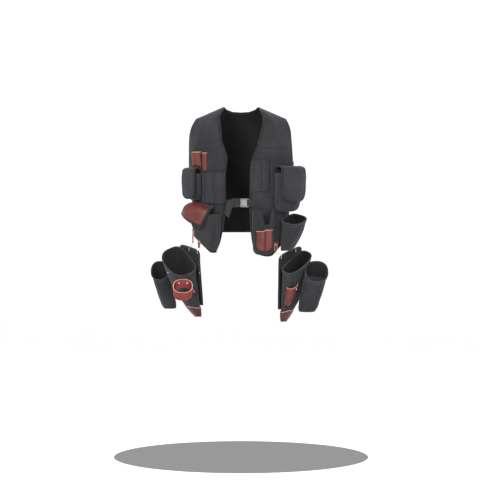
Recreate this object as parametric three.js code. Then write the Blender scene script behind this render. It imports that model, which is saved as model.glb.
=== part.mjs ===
// Utility work vest in heavy nylon with leather trim, in its worn form.
// Millimetres. +X is the wearer's left, -Y the wearer's front, +Z up.
// The origin lies midway between the shoulders, at the height where the vest rests on them.
// Names end in _r for the wearer's right and _l for the wearer's left.
import * as THREE from 'three';

const CLOTH = 2.4;
const POCKET_CLOTH = 1.8;
const LEATHER = 2.5;
const BAG_CLOTH = 3;
const WEBBING = 1.5;
const GAP = 0.3;
const ON_PANEL = CLOTH + GAP;
const FLAP_SEAT = ON_PANEL + 0.5;

const NYLON = { color: 0x3d3e41, roughness: 0.85, metalness: 0 };
const BINDING = { color: 0x2e2d2c, roughness: 0.8, metalness: 0 };
const BURGUNDY = { color: 0x74322f, roughness: 0.5, metalness: 0 };
const BLACK_PLASTIC = { color: 0x1d1d1f, roughness: 0.45, metalness: 0 };
const GREY_PLASTIC = { color: 0x8f8f8f, roughness: 0.45, metalness: 0 };
const STEEL = { color: 0xb4b4b2, roughness: 0.3, metalness: 1 };

// The trunk that the vest is cut for: a rounded box section that changes with the height.
const TRUNK_LENGTH = 560;
const CHEST_HALF_WIDTH = 203;
const CHEST_HALF_DEPTH = 122;
const SQUARENESS = 2.3;
const CHEST_LEVEL = -0.32 * TRUNK_LENGTH;
// down is a share of the trunk's length, width and depth are shares of the chest's.
const TRUNK = [
  { down: 0.32, width: 1.0, depth: 1.0 },
  { down: 0.45, width: 0.98, depth: 0.99 },
  { down: 0.6, width: 0.94, depth: 0.95 },
  { down: 0.72, width: 0.92, depth: 0.93 },
  { down: 0.85, width: 0.93, depth: 0.95 },
  { down: 1.0, width: 0.96, depth: 1.0 },
];

const NECK_HALF = 65;
const NECK_RISE = 21;
const SHOULDER_SLOPE = 0.436;
const HEM_AT_SIDE = 470;
const SEAM_ANGLE = 0.15;
const CREST_GAP = 0.25;

// Value of one column at a place on a table's key column, smooth through its rows.
function lookUp(table, key, at, column) {
  const last = table.length - 1;
  if (at <= table[0][key]) return table[0][column];
  if (at >= table[last][key]) return table[last][column];
  let i = 0;
  while (at > table[i + 1][key]) i += 1;
  const slope = (k) => {
    const before = table[Math.max(k - 1, 0)];
    const after = table[Math.min(k + 1, last)];
    return (after[column] - before[column]) / (after[key] - before[key]);
  };
  const span = table[i + 1][key] - table[i][key];
  const t = (at - table[i][key]) / span;
  const from = table[i][column];
  const to = table[i + 1][column];
  const ease = t * t * (3 - 2 * t);
  const start = t * (1 - t) ** 2 * span * slope(i);
  const end = t * t * (t - 1) * span * slope(i + 1);
  return from + (to - from) * ease + start + end;
}

const lerp = (a, b, t) => a + (b - a) * t;
const radians = (degrees) => (degrees * Math.PI) / 180;
const signedPower = (value, power) => Math.sign(value) * Math.abs(value) ** power;

const crest = (x) => NECK_RISE - SHOULDER_SLOPE * Math.max(Math.abs(x) - NECK_HALF, 0);

// Point of the trunk at an angle round it, in degrees from the front towards +X.
function trunkPoint(angle, z) {
  const down = -Math.min(z, CHEST_LEVEL) / TRUNK_LENGTH;
  const halfWidth = CHEST_HALF_WIDTH * lookUp(TRUNK, 'down', down, 'width');
  const halfDepth = CHEST_HALF_DEPTH * lookUp(TRUNK, 'down', down, 'depth');
  const x = halfWidth * signedPower(Math.sin(radians(angle)), 2 / SQUARENESS);
  let y = -halfDepth * signedPower(Math.cos(radians(angle)), 2 / SQUARENESS);
  if (z > CHEST_LEVEL) {
    const rise = Math.min((z - CHEST_LEVEL) / (crest(x) - CHEST_LEVEL), 1);
    y *= Math.sqrt(1 - rise * rise);
  }
  return new THREE.Vector3(x, y, z);
}

// Angle whose point lies at a share of the trunk's half width.
const angleAtShare = (share) => (Math.asin(share ** (SQUARENESS / 2)) * 180) / Math.PI;

// Angle at a length measured round the trunk from the front middle.
const GIRTH_STEP = 3;
const girthTables = new Map();
function angleAtGirth(girth, z) {
  const level = Math.min(z, CHEST_LEVEL);
  if (!girthTables.has(level)) {
    const lengths = [0];
    for (let angle = GIRTH_STEP; angle <= 180; angle += GIRTH_STEP) {
      const stretch = trunkPoint(angle, level).distanceTo(trunkPoint(angle - GIRTH_STEP, level));
      lengths.push(lengths[lengths.length - 1] + stretch);
    }
    girthTables.set(level, lengths);
  }
  const lengths = girthTables.get(level);
  const length = Math.abs(girth);
  let i = 0;
  while (i < lengths.length - 2 && lengths[i + 1] < length) i += 1;
  const share = (length - lengths[i]) / (lengths[i + 1] - lengths[i]);
  return Math.sign(girth) * GIRTH_STEP * (i + share);
}

// Point at a height and girth, a distance out from the trunk.
function onTrunk(girth, z, out) {
  const step = 1;
  const angle = angleAtGirth(girth, z);
  const level = Math.min(z, CHEST_LEVEL);
  const along = trunkPoint(angle + step, level).sub(trunkPoint(angle - step, level));
  const normal = new THREE.Vector3(along.y, -along.x, 0).normalize();
  return trunkPoint(angle, z).addScaledVector(normal, out);
}

// Closed solids from grids of points.

function gridNormal(grid, i, j) {
  const up = grid[Math.max(i - 1, 0)][j];
  const down = grid[Math.min(i + 1, grid.length - 1)][j];
  const left = grid[i][Math.max(j - 1, 0)];
  const right = grid[i][Math.min(j + 1, grid[0].length - 1)];
  const fall = down.clone().sub(up);
  return fall.cross(right.clone().sub(left)).normalize();
}

const offsetGrid = (grid, distance) => grid.map((row, i) =>
  row.map((point, j) => point.clone().addScaledVector(gridNormal(grid, i, j), distance)));

function geometryFrom(points, triangles) {
  let volume = 0;
  for (const [a, b, c] of triangles) {
    volume += points[a].dot(points[b].clone().cross(points[c]));
  }
  const facingOut = volume > 0 ? triangles : triangles.map(([a, b, c]) => [a, c, b]);
  const geometry = new THREE.BufferGeometry();
  const numbers = points.flatMap((point) => [point.x, point.y, point.z]);
  geometry.setAttribute('position', new THREE.Float32BufferAttribute(numbers, 3));
  geometry.setIndex(facingOut.flat());
  return geometry;
}

// Wall between two grids of the same size, closed round its edge.
function wallBetween(inner, outer) {
  const rows = inner.length;
  const columns = inner[0].length;
  const points = [...inner.flat(), ...outer.flat()];
  const at = (side, i, j) => side * rows * columns + i * columns + j;
  const triangles = [];
  const quad = (a, b, c, d) => triangles.push([a, b, c], [a, c, d]);
  for (let i = 0; i < rows - 1; i += 1) {
    for (let j = 0; j < columns - 1; j += 1) {
      quad(at(1, i, j), at(1, i + 1, j), at(1, i + 1, j + 1), at(1, i, j + 1));
      quad(at(0, i, j), at(0, i, j + 1), at(0, i + 1, j + 1), at(0, i + 1, j));
    }
  }
  const edge = [];
  for (let j = 0; j < columns - 1; j += 1) edge.push([0, j]);
  for (let i = 0; i < rows - 1; i += 1) edge.push([i, columns - 1]);
  for (let j = columns - 1; j > 0; j -= 1) edge.push([rows - 1, j]);
  for (let i = rows - 1; i > 0; i -= 1) edge.push([i, 0]);
  edge.forEach(([i, j], k) => {
    const [nextI, nextJ] = edge[(k + 1) % edge.length];
    quad(at(1, i, j), at(1, nextI, nextJ), at(0, nextI, nextJ), at(0, i, j));
  });
  return geometryFrom(points, triangles);
}

const sheet = (grid, thickness) => wallBetween(grid, offsetGrid(grid, thickness));

// Wall between two stacks of loops, open at both ends, or closed at its last loops.
function tubeBetween(outer, inner, closed) {
  const rows = outer.length;
  const count = outer[0].length;
  const points = [...outer.flat(), ...inner.flat()];
  const at = (side, i, j) => side * rows * count + i * count + (j % count);
  const triangles = [];
  const quad = (a, b, c, d) => triangles.push([a, b, c], [a, c, d]);
  for (let j = 0; j < count; j += 1) {
    for (let i = 0; i < rows - 1; i += 1) {
      quad(at(0, i, j), at(0, i, j + 1), at(0, i + 1, j + 1), at(0, i + 1, j));
      quad(at(1, i, j), at(1, i + 1, j), at(1, i + 1, j + 1), at(1, i, j + 1));
    }
    quad(at(0, 0, j), at(1, 0, j), at(1, 0, j + 1), at(0, 0, j + 1));
    if (!closed) {
      const end = rows - 1;
      quad(at(0, end, j), at(0, end, j + 1), at(1, end, j + 1), at(1, end, j));
    }
  }
  if (closed) {
    const middle = (loop) => loop.reduce((sum, point) => sum.add(point), new THREE.Vector3())
      .divideScalar(loop.length);
    points.push(middle(outer[rows - 1]), middle(inner[rows - 1]));
    const outerEnd = points.length - 2;
    const innerEnd = points.length - 1;
    for (let j = 0; j < count; j += 1) {
      triangles.push([at(0, rows - 1, j), at(0, rows - 1, j + 1), outerEnd]);
      triangles.push([at(1, rows - 1, j + 1), at(1, rows - 1, j), innerEnd]);
    }
  }
  return geometryFrom(points, triangles);
}

const vest = new THREE.Group();

function addMesh(parent, name, geometry, finish) {
  const mesh = new THREE.Mesh(geometry, new THREE.MeshStandardMaterial(finish));
  mesh.name = name;
  parent.add(mesh);
  return mesh;
}

// Front and back panels.
// level runs from 0 on the shoulder's crest over 1 at the chest line to 2 at the hem.
// inner and outer are shares of the trunk's half width at that level.
const FRONT_R = [
  { level: 0.0, inner: 0.32, outer: 0.862 },
  { level: 0.15, inner: 0.404, outer: 0.936 },
  { level: 0.3, inner: 0.394, outer: 0.97 },
  { level: 0.48, inner: 0.376, outer: 0.985 },
  { level: 0.67, inner: 0.365, outer: 0.988 },
  { level: 0.85, inner: 0.3, outer: 0.988 },
  { level: 1.0, inner: 0.262, outer: 0.99 },
  { level: 1.16, inner: 0.3, outer: 1.0 },
  { level: 1.32, inner: 0.305, outer: 1.0 },
  { level: 1.5, inner: 0.315, outer: 1.0 },
  { level: 1.66, inner: 0.345, outer: 1.0 },
  { level: 1.82, inner: 0.388, outer: 1.0 },
  { level: 1.94, inner: 0.446, outer: 1.0 },
  { level: 2.0, inner: 0.51, outer: 1.0 },
];
const FRONT_L = [
  { level: 0.0, inner: 0.335, outer: 0.862 },
  { level: 0.15, inner: 0.414, outer: 0.92 },
  { level: 0.3, inner: 0.414, outer: 0.945 },
  { level: 0.48, inner: 0.38, outer: 0.955 },
  { level: 0.67, inner: 0.34, outer: 0.962 },
  { level: 0.85, inner: 0.28, outer: 0.968 },
  { level: 1.0, inner: 0.215, outer: 0.978 },
  { level: 1.16, inner: 0.175, outer: 1.0 },
  { level: 1.32, inner: 0.178, outer: 1.0 },
  { level: 1.5, inner: 0.185, outer: 1.0 },
  { level: 1.66, inner: 0.19, outer: 1.0 },
  { level: 1.82, inner: 0.21, outer: 1.0 },
  { level: 1.94, inner: 0.25, outer: 1.0 },
  { level: 2.0, inner: 0.33, outer: 1.0 },
];
// side is a share of the trunk's half width, drop a share of the trunk's length.
const HEM_R = [
  { side: 0.35, drop: 0.955 },
  { side: 0.58, drop: 0.975 },
  { side: 0.76, drop: 0.925 },
  { side: 0.93, drop: 0.872 },
  { side: 1.0, drop: HEM_AT_SIDE / TRUNK_LENGTH },
];
const HEM_L = [
  { side: 0.25, drop: 0.975 },
  { side: 0.45, drop: 0.998 },
  { side: 0.61, drop: 0.995 },
  { side: 0.72, drop: 0.955 },
  { side: 0.86, drop: 0.9 },
  { side: 1.0, drop: HEM_AT_SIDE / TRUNK_LENGTH },
];
// Soft folds of the yokes: place and size in shares of the chest's half width, height in mm.
const FOLD_HEIGHT = 5;
const FOLDS = [
  { x: -0.55, z: -0.2, length: 0.3, width: 0.07, height: 1.0, turn: 62 },
  { x: -0.78, z: -0.42, length: 0.26, width: 0.06, height: 0.9, turn: 74 },
  { x: -0.5, z: -0.52, length: 0.2, width: 0.07, height: -0.7, turn: 55 },
  { x: 0.6, z: -0.22, length: 0.3, width: 0.07, height: 1.0, turn: -66 },
  { x: 0.8, z: -0.4, length: 0.26, width: 0.06, height: 0.8, turn: -76 },
  { x: 0.55, z: -0.55, length: 0.2, width: 0.07, height: -0.7, turn: -58 },
];

function foldHeight(x, z) {
  return FOLDS.reduce((sum, fold) => {
    const dx = x / CHEST_HALF_WIDTH - fold.x;
    const dz = z / CHEST_HALF_WIDTH - fold.z;
    const turn = radians(fold.turn);
    const along = (dx * Math.cos(turn) + dz * Math.sin(turn)) / fold.length;
    const across = (-dx * Math.sin(turn) + dz * Math.cos(turn)) / fold.width;
    return sum + FOLD_HEIGHT * fold.height * Math.exp(-along * along - across * across);
  }, 0);
}

// Point of a panel at an angle and level, with its hem at a depth below the origin.
function panelPoint(angle, level, hem) {
  if (level >= 1) return trunkPoint(angle, lerp(CHEST_LEVEL, -hem, level - 1));
  const { x } = trunkPoint(angle, CHEST_LEVEL);
  return trunkPoint(angle, lerp(crest(x), CHEST_LEVEL, level));
}

const PANEL_COLUMNS = 9;

function frontGrid(side, table, hemTable) {
  return table.map((row) => {
    const inner = angleAtShare(row.inner);
    const outer = Math.min(angleAtShare(row.outer), 90 - SEAM_ANGLE);
    const points = [];
    for (let j = 0; j < PANEL_COLUMNS; j += 1) {
      const share = j / (PANEL_COLUMNS - 1);
      const angle = side > 0 ? lerp(inner, outer, share) : lerp(outer, inner, share);
      const reach = Math.sin(radians(angle)) ** (2 / SQUARENESS);
      const hem = TRUNK_LENGTH * lookUp(hemTable, 'side', reach, 'drop');
      const point = panelPoint(side * angle, row.level, hem);
      if (row.level < 1) {
        point.y = Math.min(point.y, -CREST_GAP);
        if (row.level > 0) point.y -= foldHeight(point.x, point.z);
      }
      points.push(point);
    }
    return points;
  });
}

addMesh(vest, 'front_panel_r', sheet(frontGrid(-1, FRONT_R, HEM_R), CLOTH), NYLON);
addMesh(vest, 'front_panel_l', sheet(frontGrid(1, FRONT_L, HEM_L), CLOTH), NYLON);

// Top edge of the back: side is a share of the half width, level as above.
const BACK_TOP = [
  { side: 0.0, level: 0.1 },
  { side: 0.16, level: 0.09 },
  { side: 0.27, level: 0.05 },
  { side: 0.32, level: 0.0 },
  { side: 0.5, level: 0.0 },
  { side: 0.7, level: 0.0 },
  { side: 0.862, level: 0.0 },
  { side: 0.94, level: 0.24 },
  { side: 0.975, level: 0.6 },
  { side: 0.99, level: 0.98 },
  { side: 1.0, level: 1.16 },
];
const BACK_ROWS = [0, 0.04, 0.1, 0.18, 0.28, 0.4, 0.52, 0.64, 0.76, 0.88, 1];

function backGrid() {
  const mirrored = BACK_TOP.slice(1).map((row) => ({ ...row, turn: 1 })).reverse();
  const columns = [...mirrored, ...BACK_TOP.map((row) => ({ ...row, turn: -1 }))];
  return BACK_ROWS.map((share) => columns.map(({ side, level, turn }) => {
    const angle = Math.max(180 - angleAtShare(side), 90 + SEAM_ANGLE);
    const point = panelPoint(turn * angle, lerp(level, 2, share), HEM_AT_SIDE);
    if (level === 0) point.y = Math.max(point.y, CREST_GAP);
    return point;
  }));
}

addMesh(vest, 'back_panel', sheet(backGrid(), CLOTH), NYLON);

// Pockets and pouches that are sewn on the panels.
// left and right are its outer edges, in lengths round the trunk from the front middle, and
// top and bottom depths below the origin. seams splits a pocket into channels. lift is how far
// its sewn edge lies out from the trunk, and taper moves the lower corners in.
const MOUTH_ROWS = [0, 9, 24, 46, 66, 80, 90];

function pocketColumns(spec, cloth) {
  const edges = [spec.left + cloth, ...(spec.seams ?? []), spec.right - cloth];
  const columns = [];
  const steps = spec.steps ?? (edges.length > 2 ? 5 : 11);
  for (let k = 0; k < edges.length - 1; k += 1) {
    const width = edges[k + 1] - edges[k];
    const depth = Math.min(spec.depth, width * (spec.fullness ?? 0.5));
    for (let step = k === 0 ? 0 : 1; step <= steps; step += 1) {
      const across = -Math.cos(Math.PI * (step / steps));
      const bulge = Math.max(1 - Math.abs(across) ** spec.boxiness, 0) ** (1 / spec.boxiness);
      columns.push({ girth: edges[k] + (width * (1 + across)) / 2, bulge: depth * bulge });
    }
  }
  return columns;
}

function pocketGrid(spec, cloth) {
  const columns = pocketColumns(spec, cloth);
  const height = spec.bottom - cloth - spec.top;
  const corner = spec.corner ?? 12;
  const closing = spec.closing ?? 5;
  return MOUTH_ROWS.map((turn) => {
    const down = Math.sin(radians(turn)) ** (2 / closing);
    const stand = turn === 90 ? 0 : Math.cos(radians(turn)) ** (2 / closing);
    const above = Math.max(corner - height * (1 - down), 0);
    const inset = corner - Math.sqrt(corner * corner - above * above);
    const left = spec.left + cloth + (spec.taperLeft ?? 0) * down ** 1.4 + inset;
    const right = spec.right - cloth - (spec.taperRight ?? 0) * down ** 1.4 - inset;
    const thin = lerp(1, spec.bottomDepth ?? 1, down);
    return columns.map(({ girth, bulge }) => {
      const share = (girth - spec.left - cloth) / (spec.right - spec.left - 2 * cloth);
      const z = -(spec.top + height * down);
      return onTrunk(lerp(left, right, share), z, spec.lift + bulge * stand * thin);
    });
  });
}

const addPocket = (name, spec, finish, cloth = POCKET_CLOTH) =>
  addMesh(vest, name, sheet(pocketGrid(spec, cloth), cloth), finish);

// Flap that leaves the panel above a pouch, arcs over its mouth and hangs in front of it.
// down and out are shares of the flap's fall and reach.
const FLAP_PATH = [
  { down: 0.0, out: 0.0 },
  { down: 0.0, out: 0.14 },
  { down: -0.035, out: 0.38 },
  { down: -0.03, out: 0.68 },
  { down: 0.02, out: 0.92 },
  { down: 0.12, out: 1.0 },
  { down: 0.35, out: 1.04 },
  { down: 0.6, out: 1.04 },
  { down: 0.82, out: 1.02 },
  { down: 0.93, out: 1.01 },
  { down: 1.0, out: 1.0 },
];
const FLAP_COLUMNS = 8;

function flapGrid(spec) {
  const length = spec.bottom - spec.top;
  return (spec.path ?? FLAP_PATH).map((row) => {
    const above = Math.max(spec.corner - length * (1 - row.down), 0);
    const inset = spec.corner - Math.sqrt(spec.corner * spec.corner - above * above);
    const points = [];
    for (let j = 0; j <= FLAP_COLUMNS; j += 1) {
      const share = j / FLAP_COLUMNS;
      const slant = (spec.slant ?? 0) * row.down;
      const girth = lerp(spec.left + inset, spec.right - inset, share) + slant;
      const lean = lerp(spec.lean ?? 0, spec.endLean ?? spec.lean ?? 0, row.down) * share;
      const z = -(spec.top + length * row.down + lean);
      points.push(onTrunk(girth, z, spec.lift + spec.reach * row.out));
    }
    return points;
  });
}

const addFlap = (name, spec, finish, cloth = POCKET_CLOTH) =>
  addMesh(vest, name, sheet(flapGrid(spec), cloth), finish);

// Right front.
const CHEST_POCKET_R = {
  left: -153, right: -63, seams: [-137, -100], top: 236, bottom: 358,
  depth: 13, boxiness: 2.6, lift: ON_PANEL, corner: 8,
};
addPocket('chest_tool_pocket_r', CHEST_POCKET_R, NYLON);

const PUNCH_SLEEVE_R = {
  left: -201, right: -158, top: 156, bottom: 216,
  depth: 15, boxiness: 2.2, lift: ON_PANEL, corner: 10, bottomDepth: 0.6, steps: 8,
};
addPocket('leather_punch_sleeve_r', PUNCH_SLEEVE_R, BURGUNDY, LEATHER);
addPocket('leather_punch_pocket_r', {
  ...PUNCH_SLEEVE_R, left: -154, right: -133, top: 160, bottom: 233, depth: 10,
}, BURGUNDY, LEATHER);

const SMALL_POUCH_R = {
  left: -216, right: -156, top: 240, bottom: 342,
  depth: 34, boxiness: 5, lift: ON_PANEL, corner: 16, bottomDepth: 0.9,
};
addPocket('small_flap_pouch_r', SMALL_POUCH_R, NYLON);
addFlap('small_flap_r', {
  left: SMALL_POUCH_R.left + 2, right: SMALL_POUCH_R.right - 4, top: 222, bottom: 338,
  lift: FLAP_SEAT, reach: SMALL_POUCH_R.depth + POCKET_CLOTH + 4, corner: 27,
}, NYLON);

const LOWER_POUCH_R = {
  left: -207, right: -76, top: 397, bottom: 545, depth: 34, boxiness: 4.5,
  lift: ON_PANEL + 2 * GAP, corner: 34, bottomDepth: 0.55, taperLeft: 80, taperRight: 12, fullness: 0.3,
};
addPocket('lower_pouch_r', LOWER_POUCH_R, NYLON);

const LOWER_FLAP_R = {
  left: -196, right: -104, slant: -30, top: 352, bottom: 402, lean: 16, endLean: 48,
  lift: FLAP_SEAT, reach: LOWER_POUCH_R.depth + POCKET_CLOTH + 5, corner: 9,
  path: [
    { down: 0.0, out: 0.0 },
    { down: 0.0, out: 0.2 },
    { down: 0.04, out: 0.45 },
    { down: 0.12, out: 0.72 },
    { down: 0.26, out: 0.93 },
    { down: 0.48, out: 1.04 },
    { down: 0.74, out: 1.09 },
    { down: 1.0, out: 1.12 },
  ],
};
addFlap('lower_flap_r', LOWER_FLAP_R, BINDING);

// The leather lies on the flap, inside its bound edge.
const BINDING_WIDTH = 8;
const towards = (from, to, length) => from.clone().lerp(to, length / from.distanceTo(to));

function insetGrid(grid, margin) {
  const narrowed = grid.map((row) => [
    towards(row[0], row[1], margin), ...row.slice(1, -1), towards(row.at(-1), row.at(-2), margin),
  ]);
  const end = narrowed.at(-1).map((point, j) => towards(point, narrowed.at(-2)[j], margin));
  return [...narrowed.slice(0, -1), end];
}

const flapFace = offsetGrid(flapGrid(LOWER_FLAP_R), POCKET_CLOTH + 2 * GAP).slice(2);
addMesh(vest, 'leather_flap_panel_r', sheet(insetGrid(flapFace, BINDING_WIDTH), LEATHER), BURGUNDY);

// Left front.
const PEN_POCKET_L = {
  left: 38, right: 109, seams: [49, 79], top: 189, bottom: 309,
  depth: 9, boxiness: 2.6, lift: ON_PANEL, corner: 4, fullness: 0.35,
};
addPocket('chest_pen_pocket_l', PEN_POCKET_L, NYLON);

const CARD_POCKET_L = {
  left: 111, right: 231, top: 192, bottom: 334,
  depth: 6, boxiness: 8, lift: ON_PANEL, corner: 12,
};
addPocket('chest_card_pocket_l', CARD_POCKET_L, NYLON);

const BIG_POUCH_L = {
  left: 128, right: 222, top: 236, bottom: 387, depth: 46, boxiness: 5.5,
  lift: CARD_POCKET_L.lift + CARD_POCKET_L.depth + POCKET_CLOTH + GAP, corner: 26,
  bottomDepth: 0.92,
};
addPocket('big_flap_pouch_l', BIG_POUCH_L, NYLON);
addFlap('big_flap_l', {
  left: BIG_POUCH_L.left + 5, right: BIG_POUCH_L.right - 3, top: 216, bottom: 349,
  lift: BIG_POUCH_L.lift + 0.5, reach: BIG_POUCH_L.depth + POCKET_CLOTH + 4, corner: 36,
}, NYLON);

const KNIFE_POCKET_L = {
  left: 42, right: 125, top: 378, bottom: 554, depth: 20, boxiness: 6,
  lift: ON_PANEL, corner: 22, closing: 6, taperLeft: 4, taperRight: 2, steps: 14,
};
// Rounded notch in the knife pocket's top edge.
const NOTCH = { middle: 95, halfWidth: 14, depth: 60 };

function knifePocketGrid() {
  const grid = pocketGrid(KNIFE_POCKET_L, POCKET_CLOTH);
  const columns = pocketColumns(KNIFE_POCKET_L, POCKET_CLOTH);
  return grid.map((row, i) => row.map((point, j) => {
    const across = Math.abs(columns[j].girth - NOTCH.middle) / NOTCH.halfWidth;
    if (across >= 1) return point;
    const cut = NOTCH.depth * Math.sqrt(1 - across ** 4);
    const down = Math.sin(radians(MOUTH_ROWS[i])) ** (2 / KNIFE_POCKET_L.closing);
    const lowered = point.clone();
    lowered.z -= cut * (1 - down);
    return lowered;
  }));
}
addMesh(vest, 'knife_pocket_l', sheet(knifePocketGrid(), POCKET_CLOTH), NYLON);

addPocket('leather_double_holster_l', {
  left: 55, right: 114, seams: [86], top: 460, bottom: 540, depth: 14, boxiness: 2.6,
  lift: KNIFE_POCKET_L.lift + KNIFE_POCKET_L.depth + POCKET_CLOTH + GAP, corner: 22,
}, BURGUNDY, LEATHER);

const RIM = 1.6;

// Pouches that stand off the trunk. Each has a frame of its own: u runs forward along its
// back, w away from the wearer, and facing is the angle of w from the front towards +X.
function pouchFrame({ x, y, facing, lean = 0, top, height }) {
  const away = { x: Math.sin(radians(facing)), y: -Math.cos(radians(facing)) };
  const hand = -Math.sign(facing);
  const along = { x: hand * Math.cos(radians(facing)), y: hand * Math.sin(radians(facing)) };
  return (u, w, z) => {
    const out = w - (lean * Math.max(-z - top, 0)) / height;
    return new THREE.Vector3(x + along.x * u + away.x * out, y + along.y * u + away.y * out, z);
  };
}

// Rows of a tapered pouch from its mouth to its end. down is a share of its height, forward
// and width of its half width, depth of its depth, and tilt of the slope of its mouth.
const CONE = [
  { down: 0.0, forward: 0.0, width: 1.0, depth: 1.0, tilt: 1.0 },
  { down: 0.2, forward: 0.04, width: 0.96, depth: 0.93, tilt: 0.85 },
  { down: 0.45, forward: 0.17, width: 0.82, depth: 0.76, tilt: 0.45 },
  { down: 0.68, forward: 0.36, width: 0.62, depth: 0.56, tilt: 0.15 },
  { down: 0.84, forward: 0.53, width: 0.43, depth: 0.4, tilt: 0.0 },
  { down: 0.94, forward: 0.63, width: 0.3, depth: 0.28, tilt: 0.0 },
  { down: 1.0, forward: 0.68, width: 0.18, depth: 0.18, tilt: 0.0 },
];
const LOOP_POINTS = 16;
// Squareness of a pouch's section towards the wearer and away from them.
const BACK_SQUARENESS = 4;
const FRONT_SQUARENESS = 2.3;

// Point of a pouch's skin at a share of its height and a turn round it, grown outwards.
function conePoint(pouch, down, turn, grow) {
  const rows = pouch.rows ?? CONE;
  const row = (column) => lookUp(rows, 'down', down, column);
  const halfWidth = pouch.halfWidth * row('width') + grow;
  const halfDepth = (pouch.depth * row('depth')) / 2;
  const round = Math.sin(turn) < 0 ? BACK_SQUARENESS : FRONT_SQUARENESS;
  const u = pouch.halfWidth * row('forward') + halfWidth * signedPower(Math.cos(turn), 2 / round);
  const w = halfDepth + (halfDepth + grow) * signedPower(Math.sin(turn), 2 / round);
  const place = pouchFrame(pouch);
  const middle = place(pouch.halfWidth * row('forward'), halfDepth, 0);
  const point = place(u, w, -(pouch.top + pouch.height * down));
  point.z += pouch.slope * row('tilt') * (point.y - middle.y);
  return point;
}

function coneLoops(pouch, levels) {
  return levels.map(({ down, grow }) => {
    const loop = [];
    for (let k = 0; k < LOOP_POINTS; k += 1) {
      loop.push(conePoint(pouch, down, (2 * Math.PI * (k + 0.5)) / LOOP_POINTS, grow));
    }
    return loop;
  });
}

// Hollow pouch with a thicker rim, open at its mouth and closed at its end.
function addCone(name, pouch, finish, cloth = BAG_CLOTH) {
  const rimDepth = 9 / pouch.height;
  const outer = [
    { down: 0, grow: RIM },
    { down: rimDepth, grow: RIM },
    { down: rimDepth * 1.15, grow: 0 },
    ...[0.2, 0.45, 0.68, 0.84, 0.94, 1].map((down) => ({ down, grow: 0 })),
  ];
  const floor = cloth / pouch.height;
  const inner = outer.map(({ down }) => ({ down: Math.min(down, 1 - 2 * floor), grow: -cloth }));
  const geometry = tubeBetween(coneLoops(pouch, outer), coneLoops(pouch, inner), true);
  return addMesh(vest, name, geometry, finish);
}

const SIDE_POUCH_TOP = 418;
const SIDE_POUCH_SEAT = onTrunk(192, -SIDE_POUCH_TOP, ON_PANEL + RIM - GAP);
const SIDE_POUCH_L = {
  x: SIDE_POUCH_SEAT.x, y: SIDE_POUCH_SEAT.y, facing: 55, lean: -3,
  top: SIDE_POUCH_TOP, height: 121, halfWidth: 46, depth: 80, slope: 0.4,
  rows: [
    { down: 0.0, forward: 0.0, width: 1.0, depth: 1.0, tilt: 1.0 },
    { down: 0.3, forward: 0.1, width: 0.98, depth: 0.9, tilt: 0.7 },
    { down: 0.6, forward: 0.25, width: 0.92, depth: 0.72, tilt: 0.3 },
    { down: 0.85, forward: 0.38, width: 0.8, depth: 0.48, tilt: 0.0 },
    { down: 1.0, forward: 0.46, width: 0.64, depth: 0.3, tilt: 0.0 },
  ],
};
addCone('side_pouch_l', SIDE_POUCH_L, NYLON, POCKET_CLOTH);

// Hip bags.
const HIP_BAG_R = {
  x: -204, y: -35, facing: -58, top: 583, height: 210, halfWidth: 75, depth: 100, slope: 0.72,
  lean: 18,
};
const HIP_BAG_L = {
  x: 196, y: -40, facing: 53, top: 586, height: 226, halfWidth: 75, depth: 62, slope: 0.62,
  lean: 4,
};
const TIP_START = 0.82;

function addBag(side, bag, backTop) {
  addCone(`hip_bag_${side}`, bag, NYLON);
  const tip = (grow) => coneLoops(bag, [TIP_START, 0.88, 0.94, 1].map((down) => ({ down, grow })));
  const end = (loops, drop) => loops.map((loop, i) =>
    (i < loops.length - 1 ? loop : loop.map((point) => point.setZ(point.z - drop))));
  const outer = end(tip(GAP + LEATHER), GAP + LEATHER);
  addMesh(vest, `hip_bag_tip_${side}`, tubeBetween(outer, end(tip(GAP), GAP), true), BURGUNDY);
  const place = pouchFrame(bag);
  const rows = backTop.rows.map(({ down, rear, front }) => {
    const points = [];
    for (let k = 0; k <= 6; k += 1) {
      const share = k / 6;
      const top = lerp(backTop.rear, backTop.front, share);
      const z = -lerp(top, bag.top + bag.height * 0.8, down);
      points.push(place(bag.halfWidth * lerp(rear, front, share), -(RIM + 2 * GAP), z));
    }
    return side === 'r' ? points : points.reverse();
  });
  addMesh(vest, `hip_bag_back_${side}`, sheet(rows, -BAG_CLOTH), NYLON);
}

const BACK_ROWS_OF_BAG = [
  { down: 0.0, rear: -0.94, front: 0.94 },
  { down: 0.06, rear: -1.0, front: 1.02 },
  { down: 0.4, rear: -0.94, front: 1.03 },
  { down: 0.62, rear: -0.7, front: 1.03 },
  { down: 0.82, rear: -0.3, front: 1.03 },
  { down: 1.0, rear: 0.06, front: 1.02 },
];
const BACK_TOP_R = { rear: 514, front: 536, rows: BACK_ROWS_OF_BAG };
const BACK_TOP_L = { rear: 520, front: 556, rows: BACK_ROWS_OF_BAG };
addBag('r', HIP_BAG_R, BACK_TOP_R);
addBag('l', HIP_BAG_L, BACK_TOP_L);

// Tube at the back of the right bag and wide pouch on the outside of the left one.
// Their axis leans from the mouth's middle to the end's; slope lowers the front of the mouth.
const TUBE_LEVELS = [
  { down: 0.0, width: 1.0, grow: 0 },
  { down: 0.3, width: 0.99, grow: 0 },
  { down: 0.65, width: 0.94, grow: 0 },
  { down: 0.9, width: 0.86, grow: 0 },
  { down: 1.0, width: 0.74, grow: 0 },
];
const TUBE_ROUND = 2.4;

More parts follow.
